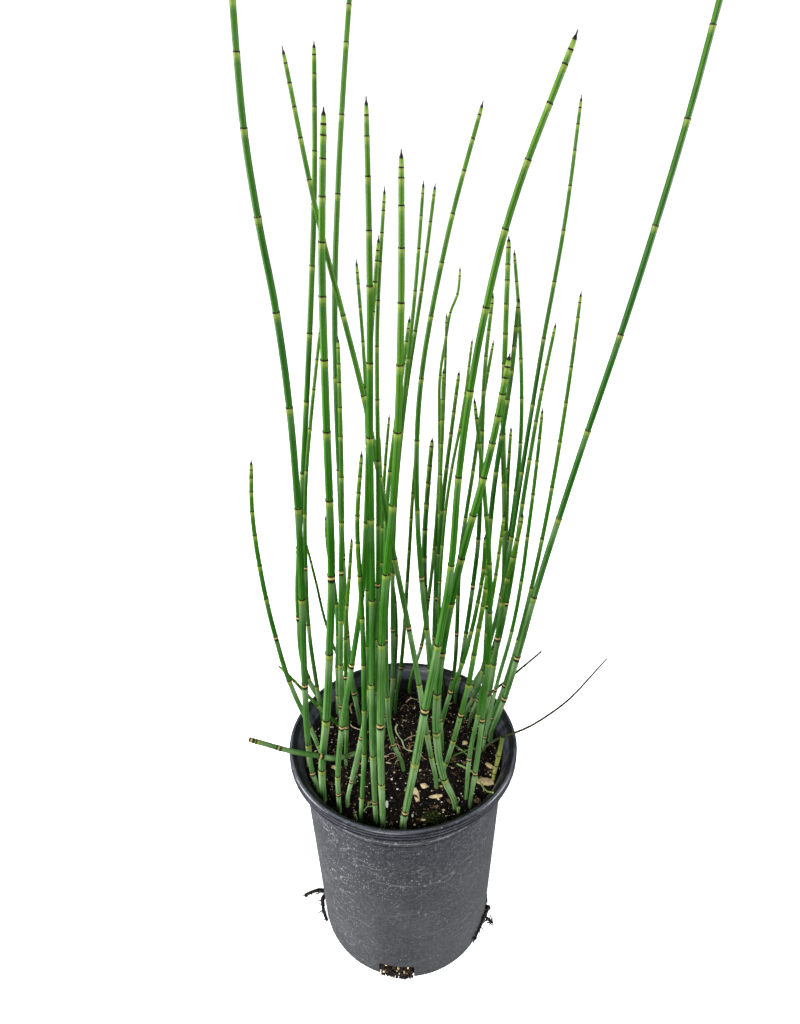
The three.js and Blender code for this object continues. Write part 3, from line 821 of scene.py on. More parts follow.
@dataclass(frozen=True)
class Stalk:
    """A stalk's middle line and thickness, measured ring by ring on its CAD node."""

    middles: np.ndarray
    along: np.ndarray
    radii: np.ndarray
    joints: np.ndarray
    end: float

    @property
    def tip(self) -> float:
        """How far along the line the tip is."""
        return float(self.along[-1])

    def radius(self, up: Union[np.ndarray, float]) -> np.ndarray:
        """Gives the radius that the stalk would have without joints, so far along its line."""
        kept = self.along <= self.end
        return np.interp(up, self.along[kept], self.radii[kept])


@dataclass(frozen=True)
class Surveyor:
    """Measures stalks on their CAD nodes, whose rings follow one another from the foot to the tip."""

    longest_rim: float = 1.7 * MM
    swell: float = 1.09
    waist: float = 0.95

    def rings(self, node: str) -> list[np.ndarray]:
        """Walks up a node's mesh from its foot.

        Args:
            node: The node.

        Returns:
            The points of each ring, from the lowest to the tip.
        """
        mesh = bmesh.new()
        mesh.from_mesh(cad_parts[node].data)
        bmesh.ops.remove_doubles(mesh, verts=mesh.verts, dist=WELD)
        floor = min(v.co.z for v in mesh.verts)
        low = [v for v in mesh.verts if v.co.z < floor + WELD * 100]
        middle = sum((v.co for v in low), Vector()) / len(low)
        ring = [min(low, key=lambda v: (v.co - middle).length)]
        seen = set(ring)
        found = []
        while ring:
            found.append(np.array([v.co for v in ring]))
            beyond = {e.other_vert(v) for v in ring for e in v.link_edges} - seen
            seen |= beyond
            ring = list(beyond)
        mesh.free()
        return found

    def survey(self, node: str, blunt: bool) -> Stalk:
        """Measures a stalk.

        Args:
            node: The CAD node.
            blunt: Whether it is broken off instead of ending in a point.

        Returns:
            The stalk.
        """
        rings = self.rings(node)[1:]
        middles = np.array([ring.mean(0) for ring in rings])
        radii = np.array([np.linalg.norm(ring - ring.mean(0), axis=1).mean() for ring in rings])
        steps = np.linalg.norm(np.diff(middles, axis=0), axis=1)
        along = np.concatenate([[0.0], np.cumsum(steps)])
        lower = np.flatnonzero((steps < self.longest_rim) & (radii[:-1] > radii[1:]))
        lower = lower[along[lower] < along[-1] - self.longest_rim]
        radii[lower] /= self.swell
        radii[lower + 1] /= self.waist
        return Stalk(middles, along, radii, along[lower], float(along[-2 if blunt else -3]))


class Habit(Enum):
    """How a stalk looks: growing, straw-dry or long dead."""

    GREEN = "green"
    STRAW = "straw"
    DEAD = "dead"


@dataclass(frozen=True)
class StemPatterns:
    """The parts that every stem is put together from, with a radius of one and a length of one.

    The shaft is the ribbed length between two joints. The sheath is the toothed cuff at a joint, from its
    foot at -1 to its rim at 0 and on to the next shaft at 1. The spire is the pointed tip.
    """

    ribs: int
    furrow: float = 0.955
    waist: float = 0.95
    swell: float = 1.09
    whole_cuts: int = 32
    long_cuts: int = 6
    short_cuts: int = 2
    collar_top: float = 0.48
    broken_rim: float = 0.92

    def all(self) -> dict[str, bpy.types.Object]:
        """Models every part and returns them by what they are."""
        return {
            "whole": self.shaft(self.whole_cuts),
            "long": self.shaft(self.long_cuts),
            "short": self.shaft(self.short_cuts),
            "sheath": self.sheath(),
            "spire": self.spire(False),
            "blunt": self.spire(True),
        }

    def shaft(self, cuts: int) -> bpy.types.Object:
        """Models the ribbed length between two joints.

        Args:
            cuts: How many rings it has between its ends.

        Returns:
            The shaft.
        """
        sides, middle = 2 * self.ribs, (0, 0, 0.5)
        piece = started(
            "shaft", "cylinder", vertices=sides, radius=1, depth=1, end_fill_type="NOTHING", location=middle
        )
        with editing(piece):
            self._press_furrows(piece)
            pick_edges(piece, lambda one, other: abs(one.z - other.z) > 0.5)
            bpy.ops.mesh.subdivide(number_cuts=cuts)
            pick(piece, lambda co: co.z < 0.01)
            bpy.ops.transform.resize(value=(self.waist, self.waist, 1), center_override=(0, 0, 0))
        self._mark_furrows(piece)
        return piece

    def sheath(self) -> bpy.types.Object:
        """Models the cuff at a joint.

        Returns:
            The sheath.
        """
        piece = started("sheath", "circle", vertices=2 * self.ribs, radius=1, location=(0, 0, -1))
        rings = [
            (0.985, -0.97), (1.025, -0.9), (1.04, -0.6), (1.065, -0.25), (self.swell, -0.08),
            (self.swell + 0.04, 0.0), (1.05, 0.02), (0.96, -0.1), (0.952, -0.12), (self.waist, 1.0),
        ]
        with editing(piece):
            self._press_furrows(piece)
            bpy.ops.mesh.select_all(action="SELECT")
            raise_rings((1.0, -1.0), rings)
        self._mark_furrows(piece)
        self._cut_teeth(piece)
        return piece

    def spire(self, blunt: bool) -> bpy.types.Object:
        """Models the end of a stem.

        Args:
            blunt: Whether the stem is broken off instead of ending in a point.

        Returns:
            The end.
        """
        piece = started("spire", "circle", vertices=2 * self.ribs, radius=1)
        collar = [(1.04, 0.01), (0.96, 0.03), (0.94, 0.15), (0.86, 0.35), (0.78, 0.47)]
        bell = [(0.70, 0.49), (0.78, 0.52), (0.72, 0.59), (0.48, 0.68), (0.3, 0.76)]
        point = [(0.24, 0.9), (0.14, 0.985)]
        rings = [(0.9, 0.0), (0.86, -0.3)] if blunt else collar + bell + point
        with editing(piece):
            self._press_furrows(piece)
            bpy.ops.mesh.select_all(action="SELECT")
            raise_rings((1.0, 0.0), rings)
            bpy.ops.mesh.edge_face_add()
            bpy.ops.mesh.poke()
        places = points_of(piece)
        # A pointed end is black above its collar. A broken end's shallow dip is painted black as the shade
        # of its hollow.
        inside = np.linalg.norm(places[:, :2], axis=1) < self.broken_rim
        hollow = inside if blunt else places[:, 2] > self.collar_top
        mark(piece, "furrow", 0.0)
        mark(piece, "spire", hollow.astype(float))
        return piece

    def _press_furrows(self, piece: bpy.types.Object) -> None:
        """Presses every other upright line of a tube in edit mode inwards, so that ribs stand between."""
        pitch = math.pi / self.ribs
        pick(piece, lambda co: round(math.atan2(co.y, co.x) / pitch) % 2 == 1)
        bpy.ops.transform.resize(value=(self.furrow, self.furrow, 1), center_override=(0, 0, 0))

    def _lines(self, places: np.ndarray) -> np.ndarray:
        """Numbers the upright line that each point lies on. Even ones are ribs and odd ones are furrows."""
        return np.round(np.arctan2(places[:, 1], places[:, 0]) * self.ribs / math.pi)

    def _mark_furrows(self, piece: bpy.types.Object) -> None:
        """Marks the points that lie in a furrow with 1, and those on a rib with 0."""
        mark(piece, "furrow", self._lines(points_of(piece)) % 2)
        mark(piece, "spire", 0.0)

    def _cut_teeth(self, piece: bpy.types.Object) -> None:
        """Draws the rim of a sheath up into worn teeth, one on each rib.

        Args:
            piece: The sheath.
        """
        places = points_of(piece)
        turn = self._lines(places).astype(int)
        rim = np.abs(places[:, 2] - 0.01) < 0.02
        tooth = np.where(turn % 2 == 0, 0.09 + 0.05 * np.sin(turn * 2.3), -0.04)
        places[rim, 2] += tooth[rim]
        set_points(piece, places)


@dataclass
class Stem:
    """One stalk, put together upright from the patterns and then bent along its line."""

    stalk: Stalk
    patterns: dict[str, bpy.types.Object]
    blunt: bool
    draws: random.Random
    youth: float = 1.0
    peg: float = 30 * MM
    sheath_share: float = 1.15
    short_shaft: float = 24 * MM
    long_shaft: float = 90 * MM
    rim_rise: float = 0.22 * MM
    sheath_most: float = 0.62
    close: float = 2 * MM
    far: float = 9.0
    sharpest: float = 50.0

    def build(self, name: str) -> bpy.types.Object:
        """Builds the stem.

        Args:
            name: The stem's name.

        Returns:
            The stem.
        """
        piece = joined(name, list(self._parts()))
        with editing(piece):
            bpy.ops.mesh.select_all(action="SELECT")
            bpy.ops.mesh.remove_doubles(threshold=WELD)
            pick(piece, lambda co: co.z < WELD)
            bpy.ops.mesh.edge_face_add()
            turn_outwards()
        self._bend(piece)
        shade_smooth(piece, self.sharpest)
        return piece

    def _parts(self) -> Iterator[bpy.types.Object]:
        """Copies a shaft, a sheath and so on up the stem.

        Yields:
            The parts, upright and still apart.
        """
        end, tip = self.stalk.end, self.stalk.tip
        low, last = 0.0, None
        for rim in [*self.stalk.joints, end]:
            length = 0.0
            age = self._age((rim - self.peg) / (tip - self.peg))
            if rim != end:
                thick = 2 * float(self.stalk.radius(rim))
                length = min(self.sheath_share * thick, self.sheath_most * (rim - low))
                yield self._placed("sheath", rim, length, self.rim_rise, (rim, last, age))
            span = rim - length - low
            cut = "short" if span < self.short_shaft else "long" if span < self.long_shaft else "whole"
            yield self._placed(cut, low, 0.0, span, (rim, last, age))
            low, last = rim + self.rim_rise, rim
        kind = "blunt" if self.blunt else "spire"
        yield self._placed(kind, end, 0.0, max(tip - end, MM), (end, last, 0.0))

    def _age(self, share: float) -> float:
        """Draws how old a joint looks: 0 is fresh and green, and 1 is bleached with a black foot."""
        freshness = (1.2 * share + self.draws.uniform(-0.35, 0.55)) * self.youth
        return min(max(0.95 - freshness, 0.0), 1.0)

    def _placed(
        self, kind: str, height: float, below: float, above: float, joint: tuple[float, float | None, float]
    ) -> bpy.types.Object:
        """Copies a pattern to its height, gives it the stem's thickness there and marks its points.

        Args:
            kind: Which pattern.
            height: How far up the stem the pattern's own zero comes.
            below: How long a unit is below it.
            above: How long a unit is above it.
            joint: How far up the next joint and the last one are, and how old the next one looks.

        Returns:
            The copy.
        """
        rim, last, age = joint
        piece = copied(self.patterns[kind], Matrix())
        places = points_of(piece)
        places[:, 2] *= np.where(places[:, 2] > 0.5 if below else True, above, below)
        places[:, 2] += height
        up = places[:, 2]
        radius = self.stalk.radius(up)
        places[:, :2] *= radius[:, None]
        set_points(piece, places)
        mark(piece, "reach", np.abs(rim - up) / MM)
        mark(piece, "rise", self.far if last is None else (up - last) / MM)
        mark(piece, "share", np.clip((up - self.peg) / (self.stalk.tip - self.peg), 0, 1) * self.youth)
        mark(piece, "girth", 2 * radius / MM)
        mark(piece, "age", age)
        return piece

    def _bend(self, piece: bpy.types.Object) -> None:
        """Bends the upright stem along its line, leaving out any ring too close to the one before."""
        kept = [0]
        for i, up in enumerate(self.stalk.along):
            if up - self.stalk.along[kept[-1]] > self.close:
                kept.append(i)
        line = curve("line", self.stalk.middles[kept], 10)
        foot, collar = line.data.splines[0].bezier_points[:2]
        foot.handle_right_type = collar.handle_left_type = "VECTOR"
        modify(piece, "CURVE", object=line, deform_axis="POS_Z")
        removed(line)


@dataclass(frozen=True)
class Foot:
    """Where a stalk stands in the soil, and how thick it is there."""

    x: float
    y: float
    radius: float


@dataclass
class Clump:
    """All the stems, green and dry."""

    seed: int = 7
    ribs: tuple[int, ...] = (10, 13, 17)
    ribs_each_mm: float = 3.2
    broken: tuple[str, ...] = (
        "dry_stub", "dead_stem", "dry_stalk_long", "dry_stalk_short", "leaning_stem_low",
    )
    scarred: tuple[str, ...] = ("stem_09", "stem_14", "stem_27")
    old: str = "leaning_stem_low"
    old_youth: float = 0.3
    scar: float = 0.9
    reach: float = 72 * MM
    feet: list[Foot] = field(default_factory=list)

    def build(self) -> None:
        """Builds and dresses every stem, and notes where each stands."""
        patterns = {ribs: StemPatterns(ribs).all() for ribs in self.ribs}
        dress = {
            Habit.GREEN: (StemFinish().material(), "stem"),
            Habit.STRAW: (DryFinish("straw", paint("868a42"), paint("45551c")).material(), "dry_stem"),
            Habit.DEAD: (DryFinish("dead_stalk", paint("2c3614"), paint("17110b")).material(), "dry_stem"),
        }
        for node in sorted(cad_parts):
            habit = self._habit(node)
            if habit is None:
                continue
            draws = random.Random(f"{self.seed} {node}")
            blunt = node in self.broken
            stalk = Surveyor().survey(node, blunt)
            wanted = self.ribs_each_mm * 2 * float(stalk.radius(0.0)) / MM
            ribs = min(self.ribs, key=lambda count: abs(count - wanted))
            youth = self.old_youth if node == self.old else 1.0
            piece = Stem(stalk, patterns[ribs], blunt, draws, youth).build(f"ribbed_{node}")
            foot = Foot(*stalk.middles[0][:2], float(stalk.radius(0.0)))
            self.feet.append(foot)
            self._tint(piece, node, foot.y, draws)
            finish(piece, *dress[habit], node)
        for shapes in patterns.values():
            removed(*shapes.values())

    @staticmethod
    def _habit(node: str) -> Habit | None:
        """Says how a node's stalk looks, or None if it is no stalk."""
        if node.startswith(("stem_", "leaning_stem")):
            return Habit.GREEN
        if node == "dry_stub":
            return Habit.STRAW
        return Habit.DEAD if node.startswith(("dry_", "dead_")) else None

    def _tint(self, piece: bpy.types.Object, node: str, depth: float, draws: random.Random) -> None:
        """Marks a stem's own colouring. Stems at the back are deeper, and scarred ones are pitted.

        Args:
            piece: The stem.
            node: Its CAD node.
            depth: How far back its foot is.
            draws: Where random numbers come from.
        """
        back = (depth + self.reach) / (2 * self.reach)
        mark(piece, "shade", min(max(0.1 + 0.55 * back + draws.uniform(-0.3, 0.35), 0.0), 1.0))
        mark(piece, "tone", draws.uniform(-0.6, 0.6))
        mark(piece, "bloom", draws.uniform(0.3, 1.0))
        mark(piece, "wear", self.scar if node in self.scarred else draws.uniform(0.0, 0.25))


# ---------------------------------------------------------------- the pot and its soil


def softened(profile: list[Pair], cut: float, steps: int) -> list[Pair]:
    """Rounds the corners of a profile.

    Args:
        profile: The radius and height of each corner.
        cut: How far from a corner its rounding starts at most.
        steps: How many pieces a rounding has.

    Returns:
        The rounded profile, with its two ends where they were.
    """
    rounded = [profile[0]]
    for before, corner, after in zip(profile, profile[1:], profile[2:]):
        here = Vector(corner)
        arms = [Vector(end) - here for end in (before, after)]
        start, stop = (here + arm.normalized() * min(cut, arm.length * 0.45) for arm in arms)
        for i in range(steps + 1):
            t = i / steps
            rounded.append(tuple(start * (1 - t) ** 2 + here * 2 * t * (1 - t) + stop * t**2))
    return [*rounded, profile[-1]]


@dataclass
class Pot:
    """The blow-moulded nursery pot, in metres."""

    height: float = 186 * MM
    base: float = 67.8 * MM
    neck: float = 74.3 * MM
    neck_height: float = 174.5 * MM
    wall: float = 1.2 * MM
    floor: float = 1.5 * MM
    chamfer: float = 1 * MM
    lip: float = 83.2 * MM
    crest: float = 81.2 * MM
    lip_inner: float = 76.4 * MM
    lip_drop: float = 8.5 * MM
    lip_slope: float = 4.4 * MM
    lip_round: float = 1.6 * MM
    lip_grooves: tuple[float, ...] = (179.9 * MM, 182.4 * MM, 184.8 * MM)
    bands: tuple[float, ...] = (161 * MM, 169 * MM)
    band_width: float = 3 * MM
    wall_rings: tuple[float, ...] = (17 * MM, 60 * MM, 110 * MM)
    band_proud: float = 0.4 * MM
    notch: Place = (27 * MM, 8 * MM, 15 * MM)
    notch_turn: float = math.radians(-97)
    notches: int = 4
    notch_round: float = 2.2 * MM
    corner: float = 0.8 * MM
    corner_steps: int = 4
    sides: int = 168
    sharpest: float = 35.0

    def radius(self, height: float) -> float:
        """Gives the outside radius of the wall at a height."""
        return self.base + (self.neck - self.base) * height / self.neck_height

    def profile(self) -> list[Pair]:
        """Lists the corners of the pot's section, from under its base round to its inside floor.

        Returns:
            The radius and height of each corner.
        """
        corners = [(self.base - self.chamfer, 0.0), (self.radius(self.chamfer), self.chamfer)]
        corners += [(self.radius(height), height) for height in self.wall_rings]
        for low in self.bands:
            high = low + self.band_width
            corners += [
                (self.radius(low), low),
                (self.radius(low) + self.band_proud, low + self.band_proud),
                (self.radius(high) + self.band_proud, high - self.band_proud),
                (self.radius(high), high),
            ]
        top, bend = self.height, self.lip_round
        return corners + [
            (self.neck, self.neck_height),
            (self.neck + bend, self.neck_height + bend),
            (self.lip - bend / 2, top - self.lip_drop),
            (self.lip, top - self.lip_drop + bend / 2),
            (self.lip, top - bend),
            (self.lip - bend / 2, top - bend / 3),
            (self.crest, top),
            (self.crest - bend, top - bend / 3),
            (self.lip_inner, top - self.lip_slope),
            (self.neck - self.wall + bend / 2, self.neck_height + bend),
            (self.neck - self.wall, self.neck_height),
            (self.radius(self.floor + self.chamfer) - self.wall, self.floor + self.chamfer),
            (self.base - self.chamfer - self.wall, self.floor),
        ]

    def build(self) -> None:
        """Turns the pot, cuts its drain notches and dresses it."""
        profile = softened(self.profile(), self.corner, self.corner_steps)
        piece = turned("moulded_pot", profile, self.sides)
        for i in range(self.notches):
            cutter = self._cutter(self.notch_turn + i * math.tau / self.notches)
            modify(piece, "BOOLEAN", object=cutter, operation="DIFFERENCE", solver="EXACT")
            removed(cutter)
        shade_smooth(piece, self.sharpest)
        finish(piece, PotFinish().material(self), "pot", "pot")

    def _cutter(self, turn: float) -> bpy.types.Object:
        """Models the block that cuts one drain notch.

        Args:
            turn: The angle round the pot, where the notch is.

        Returns:
            The block, a little rounded at its upper corners.
        """
        width, depth, height = self.notch
        sizes = (width, 2 * depth, 2 * height)
        piece = started("notch", "cube", size=1, scale=sizes, location=(0, -self.base, 0))
        with editing(piece):
            pick_edges(piece, lambda one, other: min(one.z, other.z) > 0 and abs(one.y - other.y) > depth)
            bpy.ops.mesh.bevel(offset=self.notch_round, segments=4, affect="EDGES")
        piece.data.transform(spun(turn))
        return piece


@dataclass
class Soil:
    """The peat in the pot, with an uneven crumbly top."""

    pot: Pot
    top: float = 170 * MM
    gap: float = 0.45 * MM
    cells: int = 170
    crumble: float = 1.5 * MM
    grit: float = 0.7 * MM
    skirt: float = 6 * MM
    seed: float = 3.7
    sharpest: float = 60.0

    @property
    def radius(self) -> float:
        """The radius of the soil's top."""
        return self.pot.radius(self.top) - self.pot.wall - self.gap

    def height(self, x: float, y: float) -> float:
        """Gives the height of the soil's top so far to the right and so far back.

        Args:
            x: How far to the right.
            y: How far back.

        Returns:
            The height.
        """
        wide, deep = x / MM, y / MM
        coarse = 1.1 * math.sin(0.16 * wide + 0.9) * math.cos(0.13 * deep - 0.9)
        fine = 0.7 * math.sin(0.33 * wide + 1.7) * math.cos(-0.24 * deep - 1.7)
        dips = 3.5 * smooth(deep, 10, 70) + 1.2 * smooth(math.hypot(wide, deep), 58, 72)
        spot = Vector((wide, deep, self.seed))
        clod = noise.fractal(spot * 0.16, 1.0, 2.1, 3)
        grit = abs(noise.noise(spot * 0.62)) + 0.5 * abs(noise.noise(spot * 1.3))
        return self.top + (coarse + fine - dips) * MM + clod * self.crumble + (grit - 0.35) * self.grit

    def build(self) -> None:
        """Models the soil as a round sheet with a skirt and a bottom, and dresses it."""
        cells = self.cells
        piece = started("crumbly_soil", "grid", x_subdivisions=cells, y_subdivisions=cells, size=2)
        places = points_of(piece)
        wide, deep = places[:, 0].copy(), places[:, 1].copy()
        places[:, 0] = wide * np.sqrt(1 - deep**2 / 2) * self.radius
        places[:, 1] = deep * np.sqrt(1 - wide**2 / 2) * self.radius
        places[:, 2] = [self.height(x, y) for x, y in places[:, :2]]
        set_points(piece, places)
        pot, low, level = self.pot, self.pot.floor + self.gap, self.top - self.skirt
        bottom = [
            (pot.radius(low + pot.chamfer) - pot.wall - self.gap, low + pot.chamfer),
            (pot.base - pot.chamfer - pot.wall - self.gap, low),
        ]
        with editing(piece):
            bpy.ops.mesh.select_mode(type="EDGE")
            bpy.ops.mesh.select_non_manifold()
            bpy.ops.mesh.extrude_edges_move(TRANSFORM_OT_translate={"value": (0, 0, level - self.top)})
            bpy.ops.transform.resize(value=(1, 1, 0), center_override=(0, 0, level))
            raise_rings((self.radius, level), bottom)
            bpy.ops.mesh.edge_face_add()
            bpy.ops.mesh.poke()
            turn_outwards()
        shade_smooth(piece, self.sharpest)
        finish(piece, SoilFinish().material(), "soil", "soil")


def smooth(value: float, low: float, high: float) -> float:
    """Gives the share that a value has risen smoothly from a low to a high one."""
    share = min(max((value - low) / (high - low), 0.0), 1.0)
    return share * share * (3 - 2 * share)


# ---------------------------------------------------------------- what lies on the soil


class Bit(Enum):
    """The shapes that loose bits have."""

    CRUMB = "crumb"
    CHIP = "chip"
    GRAIN = "grain"
    LEAF = "leaf"


Move = tuple[Bit, Matrix, float]
Bits = dict[Bit, list[bpy.types.Object]]


@dataclass
class BitPatterns:
    """The loose bits in a few versions, each one unit long and centred on the origin.

    The blade stands on the origin instead.
    """

    versions: int = 3
    seed: int = 5

    def all(self) -> Bits:
        """Models every version of each bit and returns them."""
        return {bit: [self._roughened(bit, i) for i in range(self.versions)] for bit in Bit}

    def _shaped(self, bit: Bit) -> bpy.types.Object:
        """Models a bit.

        Args:
            bit: A round crumb, a grain with flat faces, a blade that stands on the origin, or a chip.

        Returns:
            The bit.
        """
        if bit is Bit.CRUMB:
            return started("crumb", "uv_sphere", segments=7, ring_count=5, radius=0.5)
        if bit is Bit.GRAIN:
            return started("grain", "ico_sphere", subdivisions=1, radius=0.5)
        if bit is Bit.LEAF:
            blade = {"vertices": 4, "radius1": 0.13, "radius2": 0, "depth": 1}
            return started("leaf", "cone", location=(0, 0, 0.5), **blade)
        return self._chip()

    @staticmethod
    def _chip() -> bpy.types.Object:
        """Models a flat chip of wood with torn ends.

        Returns:
            The chip.
        """
        piece = started("chip", "cube", size=1)
        with editing(piece):
            bpy.ops.mesh.select_all(action="SELECT")
            bpy.ops.mesh.subdivide(number_cuts=2)
            for end, share in ((-1, 0.45), (1, 0.65)):
                pick(piece, lambda co: co.x * end > 0.4)
                bpy.ops.transform.resize(value=(1, share, share), center_override=(0, 0, 0))
            pick(piece, lambda co: abs(co.y) > 0.3 and abs(co.z) > 0.3)
            bpy.ops.transform.resize(value=(1, 0.86, 0.7), center_override=(0, 0, 0))
        return piece

    def _roughened(self, bit: Bit, version: int) -> bpy.types.Object:
        """Models a bit and makes it uneven.

        Args:
            bit: What it is.
            version: Which version it becomes.

        Returns:
            The bit.
        """
        piece = self._shaped(bit)
        draws = np.random.default_rng([self.seed, version])
        places = points_of(piece)
        wander = {Bit.CRUMB: 0.1, Bit.GRAIN: 0.09, Bit.CHIP: 0.055, Bit.LEAF: 0.02}[bit]
        set_points(piece, places + draws.uniform(-wander, wander, places.shape))
        return piece


@dataclass(frozen=True)
class Laid:
    """One bit that lies in a place of its own, in millimetres: from one end to the other, and how wide."""

    start: Pair
    stop: Pair
    width: float
    tone: float
    bit: Bit = Bit.CHIP


def lump(x: float, y: float, size: float, tone: float) -> Laid:
    """Gives a rounded bit of a size at a place, in millimetres, and so dark, from 0 to 1."""
    return Laid((x - size / 2, y), (x + size / 2, y - size * 0.2), size * 0.8, tone, Bit.CRUMB)


WOOD = (
    Laid((7.7, -35.8), (9.5, -47.0), 3.6, 0.15),
    Laid((17.5, -41.7), (26.4, -40.5), 2.6, 0.3),
    Laid((60.0, -13.7), (64.7, -18.3), 3.0, 0.7),
    Laid((52.0, -29.4), (63.2, -30.4), 5.6, 0.45),
    Laid((11.2, -60.7), (14.4, -61.0), 1.8, 0.15),
    Laid((-52.6, -14.2), (-48.0, -15.9), 3.2, 0.1),
    Laid((70.7, -2.4), (70.1, -8.6), 3.6, 0.4),
    lump(14.5, -32.2, 5.0, 0.35),
    lump(46.6, 5.7, 4.0, 0.5),
    lump(26.7, -53.0, 2.0, 0.4),
    lump(23.8, -56.4, 1.7, 0.3),
    lump(22.6, -49.2, 1.8, 0.5),
    lump(28.1, -57.1, 1.5, 0.35),
    lump(6.9, -63.3, 2.0, 0.1),
)
BARK = (
    lump(50.2, -45.7, 5.0, 0.3),
    lump(36.6, -8.4, 4.4, 0.4),
    lump(44.6, -11.0, 3.6, 0.2),
    lump(-52.2, -28.5, 4.2, 0.6),
    lump(31.0, -44.6, 3.2, 0.5),
    lump(-38.4, -46.4, 3.4, 0.4),
    lump(2.6, -41.2, 3.0, 0.6),
)
WHITE = (
    Laid((-11.9, -44.8), (-11.8, -50.3), 1.8, 0.1),
    Laid((5.5, -54.4), (5.4, -57.7), 1.4, 0.1),
    lump(-8.6, -26.2, 1.7, 0.1),
    lump(-5.8, -29.5, 1.3, 0.2),
    lump(-4.6, -35.3, 1.5, 0.1),
    lump(-8.6, -41.6, 1.6, 0.2),
    lump(20.3, 7.7, 1.6, 0.1),
    lump(45.4, 5.0, 1.5, 0.1),
    lump(12.2, -18.6, 1.4, 0.2),
    lump(29.0, -25.8, 1.7, 0.1),
)


@dataclass
class Litter:
    """The loose bits that lie scattered over the soil and in the drain notches."""

    soil: Soil
    feet: list[Foot]
    seed: int = 23
    room: float = 0.5 * MM
    proud: float = 0.12
    mostly_small: float = 2.2
    notch_sizes: Pair = (1.2 * MM, 3.0 * MM)
    notch_depth: float = 1.2 * MM
    notch_spill: float = 2.4 * MM

    def build(self) -> None:
        """Scatters every sort of bit and dresses it."""
        patterns = BitPatterns().all()
        peat = CrumbFinish("peat_crumb", paint("2b2119"), paint("070504"), paint("040302"), 0.6)
        wood = CrumbFinish("pale_wood", paint("dcc8a0"), paint("8d744c"), paint("45311c"), 0.3, 0.6)
        bark = CrumbFinish("brown_bark", paint("66503a"), paint("21160e"), paint("0e0805"), 0.5, 0.5)
        white = CrumbFinish("perlite", paint("f4f1ea"), paint("c9c2b4"), paint("8a8074"), 0.15)
        moss = CrumbFinish("moss", paint("465220"), paint("1c2409"), paint("15140a"), 0.4)
        self._piece("peat_crumbs", patterns, peat, [
            *self._strewn(Bit.CRUMB, 1300, (0.8, 2.8), 0.75),
            *self._strewn(Bit.GRAIN, 1500, (0.5, 1.3), 0.7),
            *self._strewn(Bit.CHIP, 260, (1.6, 4.6), 0.35),
            *self._in_notches(840),
        ])
        self._piece("wood_bits", patterns, wood, [
            *self._strewn(Bit.CHIP, 190, (0.9, 3.0), 0.4),
            *self._strewn(Bit.GRAIN, 260, (0.6, 1.5), 0.8),
            *(self._laid(bit) for bit in WOOD),
            *self._in_notches(44),
        ])
        self._piece("bark_bits", patterns, bark, [
            *self._strewn(Bit.CHIP, 150, (1.4, 4.2), 0.5),
            *self._strewn(Bit.CRUMB, 90, (1.0, 2.8), 0.7),
            *(self._laid(bit) for bit in BARK),
        ])
        self._piece("perlite_grains", patterns, white, [
            *self._strewn(Bit.GRAIN, 380, (0.5, 1.3), 0.9),
            *(self._laid(bit) for bit in WHITE),
        ])
        self._piece("moss_patch", patterns, moss, self._tuft((19 * MM, -59 * MM), 7.5 * MM, 420))
        for versions in patterns.values():
            removed(*versions)

    def _piece(self, name: str, patterns: Bits, look: CrumbFinish, moves: Iterable[Move]) -> None:
        """Copies bits to their places and joins them.

        Args:
            name: The piece's name.
            patterns: The bits to copy.
            look: What they are made of.
            moves: Which bit each copy is of, where it goes and how dark it is.
        """
        copies = []
        for i, (bit, move, tone) in enumerate(moves):
            versions = patterns[bit]
            copy = copied(versions[i % len(versions)], move)
            mark(copy, "own", tone)
            copies.append(copy)
        finish(joined(name, copies), look.material(), "soil")

    def _lift(self, x: float, y: float, up: float = 0.0) -> Matrix:
        """Gives the move to a place on the soil, or so far above it."""
        return Matrix.Translation((x, y, self.soil.height(x, y) + up))

    def _clear(self, x: float, y: float, size: float) -> bool:
        """Says whether a bit of a size has room at a place between the stems."""
        near = (
            math.hypot(x - foot.x, y - foot.y) < foot.radius + self.room + size / 2 for foot in self.feet
        )
        return not any(near)

    def _strewn(self, bit: Bit, count: int, sizes: Pair, flat: float) -> Iterator[Move]:
        """Scatters bits over the soil, clear of the stems.

        Args:
            bit: Which bit.
            count: How many.
            sizes: The smallest and largest, in millimetres. Most are small.
            flat: How thick a bit is for its length.

        Yields:
            Which bit each is, where it goes and how dark it is.
        """
        draws = random.Random(f"{self.seed} {bit.value} {count}")
        while count:
            size = (sizes[0] + (sizes[1] - sizes[0]) * draws.random() ** self.mostly_small) * MM
            out = (self.soil.radius - size * 0.6) * math.sqrt(draws.random())
            turn = whirl(draws)
            x, y = out * math.cos(turn), out * math.sin(turn)
            if not self._clear(x, y, size):
                continue
            count -= 1
            width = draws.uniform(0.3, 0.6) if bit is Bit.CHIP else draws.uniform(0.65, 1.0)
            scale = Matrix.Diagonal((size, size * width, size * flat * draws.uniform(0.35, 0.7), 1))
            tilt = spun(draws.gauss(0, 0.3), "X") @ spun(draws.gauss(0, 0.25), "Y")
            lift = self._lift(x, y, size * self.proud)
            yield bit, lift @ spun(whirl(draws)) @ tilt @ scale, draws.random()

    def _laid(self, laid: Laid) -> Move:
        """Places one bit by its two ends.

        Args:
            laid: The bit.

        Returns:
            Which bit it is, where it goes and how dark it is.
        """
        start, stop = Vector(laid.start) * MM, Vector(laid.stop) * MM
        middle, run = (start + stop) / 2, stop - start
        width = laid.width * MM
        thick = width * (0.42 if laid.bit is Bit.CHIP else 0.75)
        lift = self._lift(*middle, thick * 0.35)
        turn = spun(math.atan2(run.y, run.x)) @ spun(0.12, "X")
        return laid.bit, lift @ turn @ Matrix.Diagonal((run.length, width, thick, 1)), laid.tone

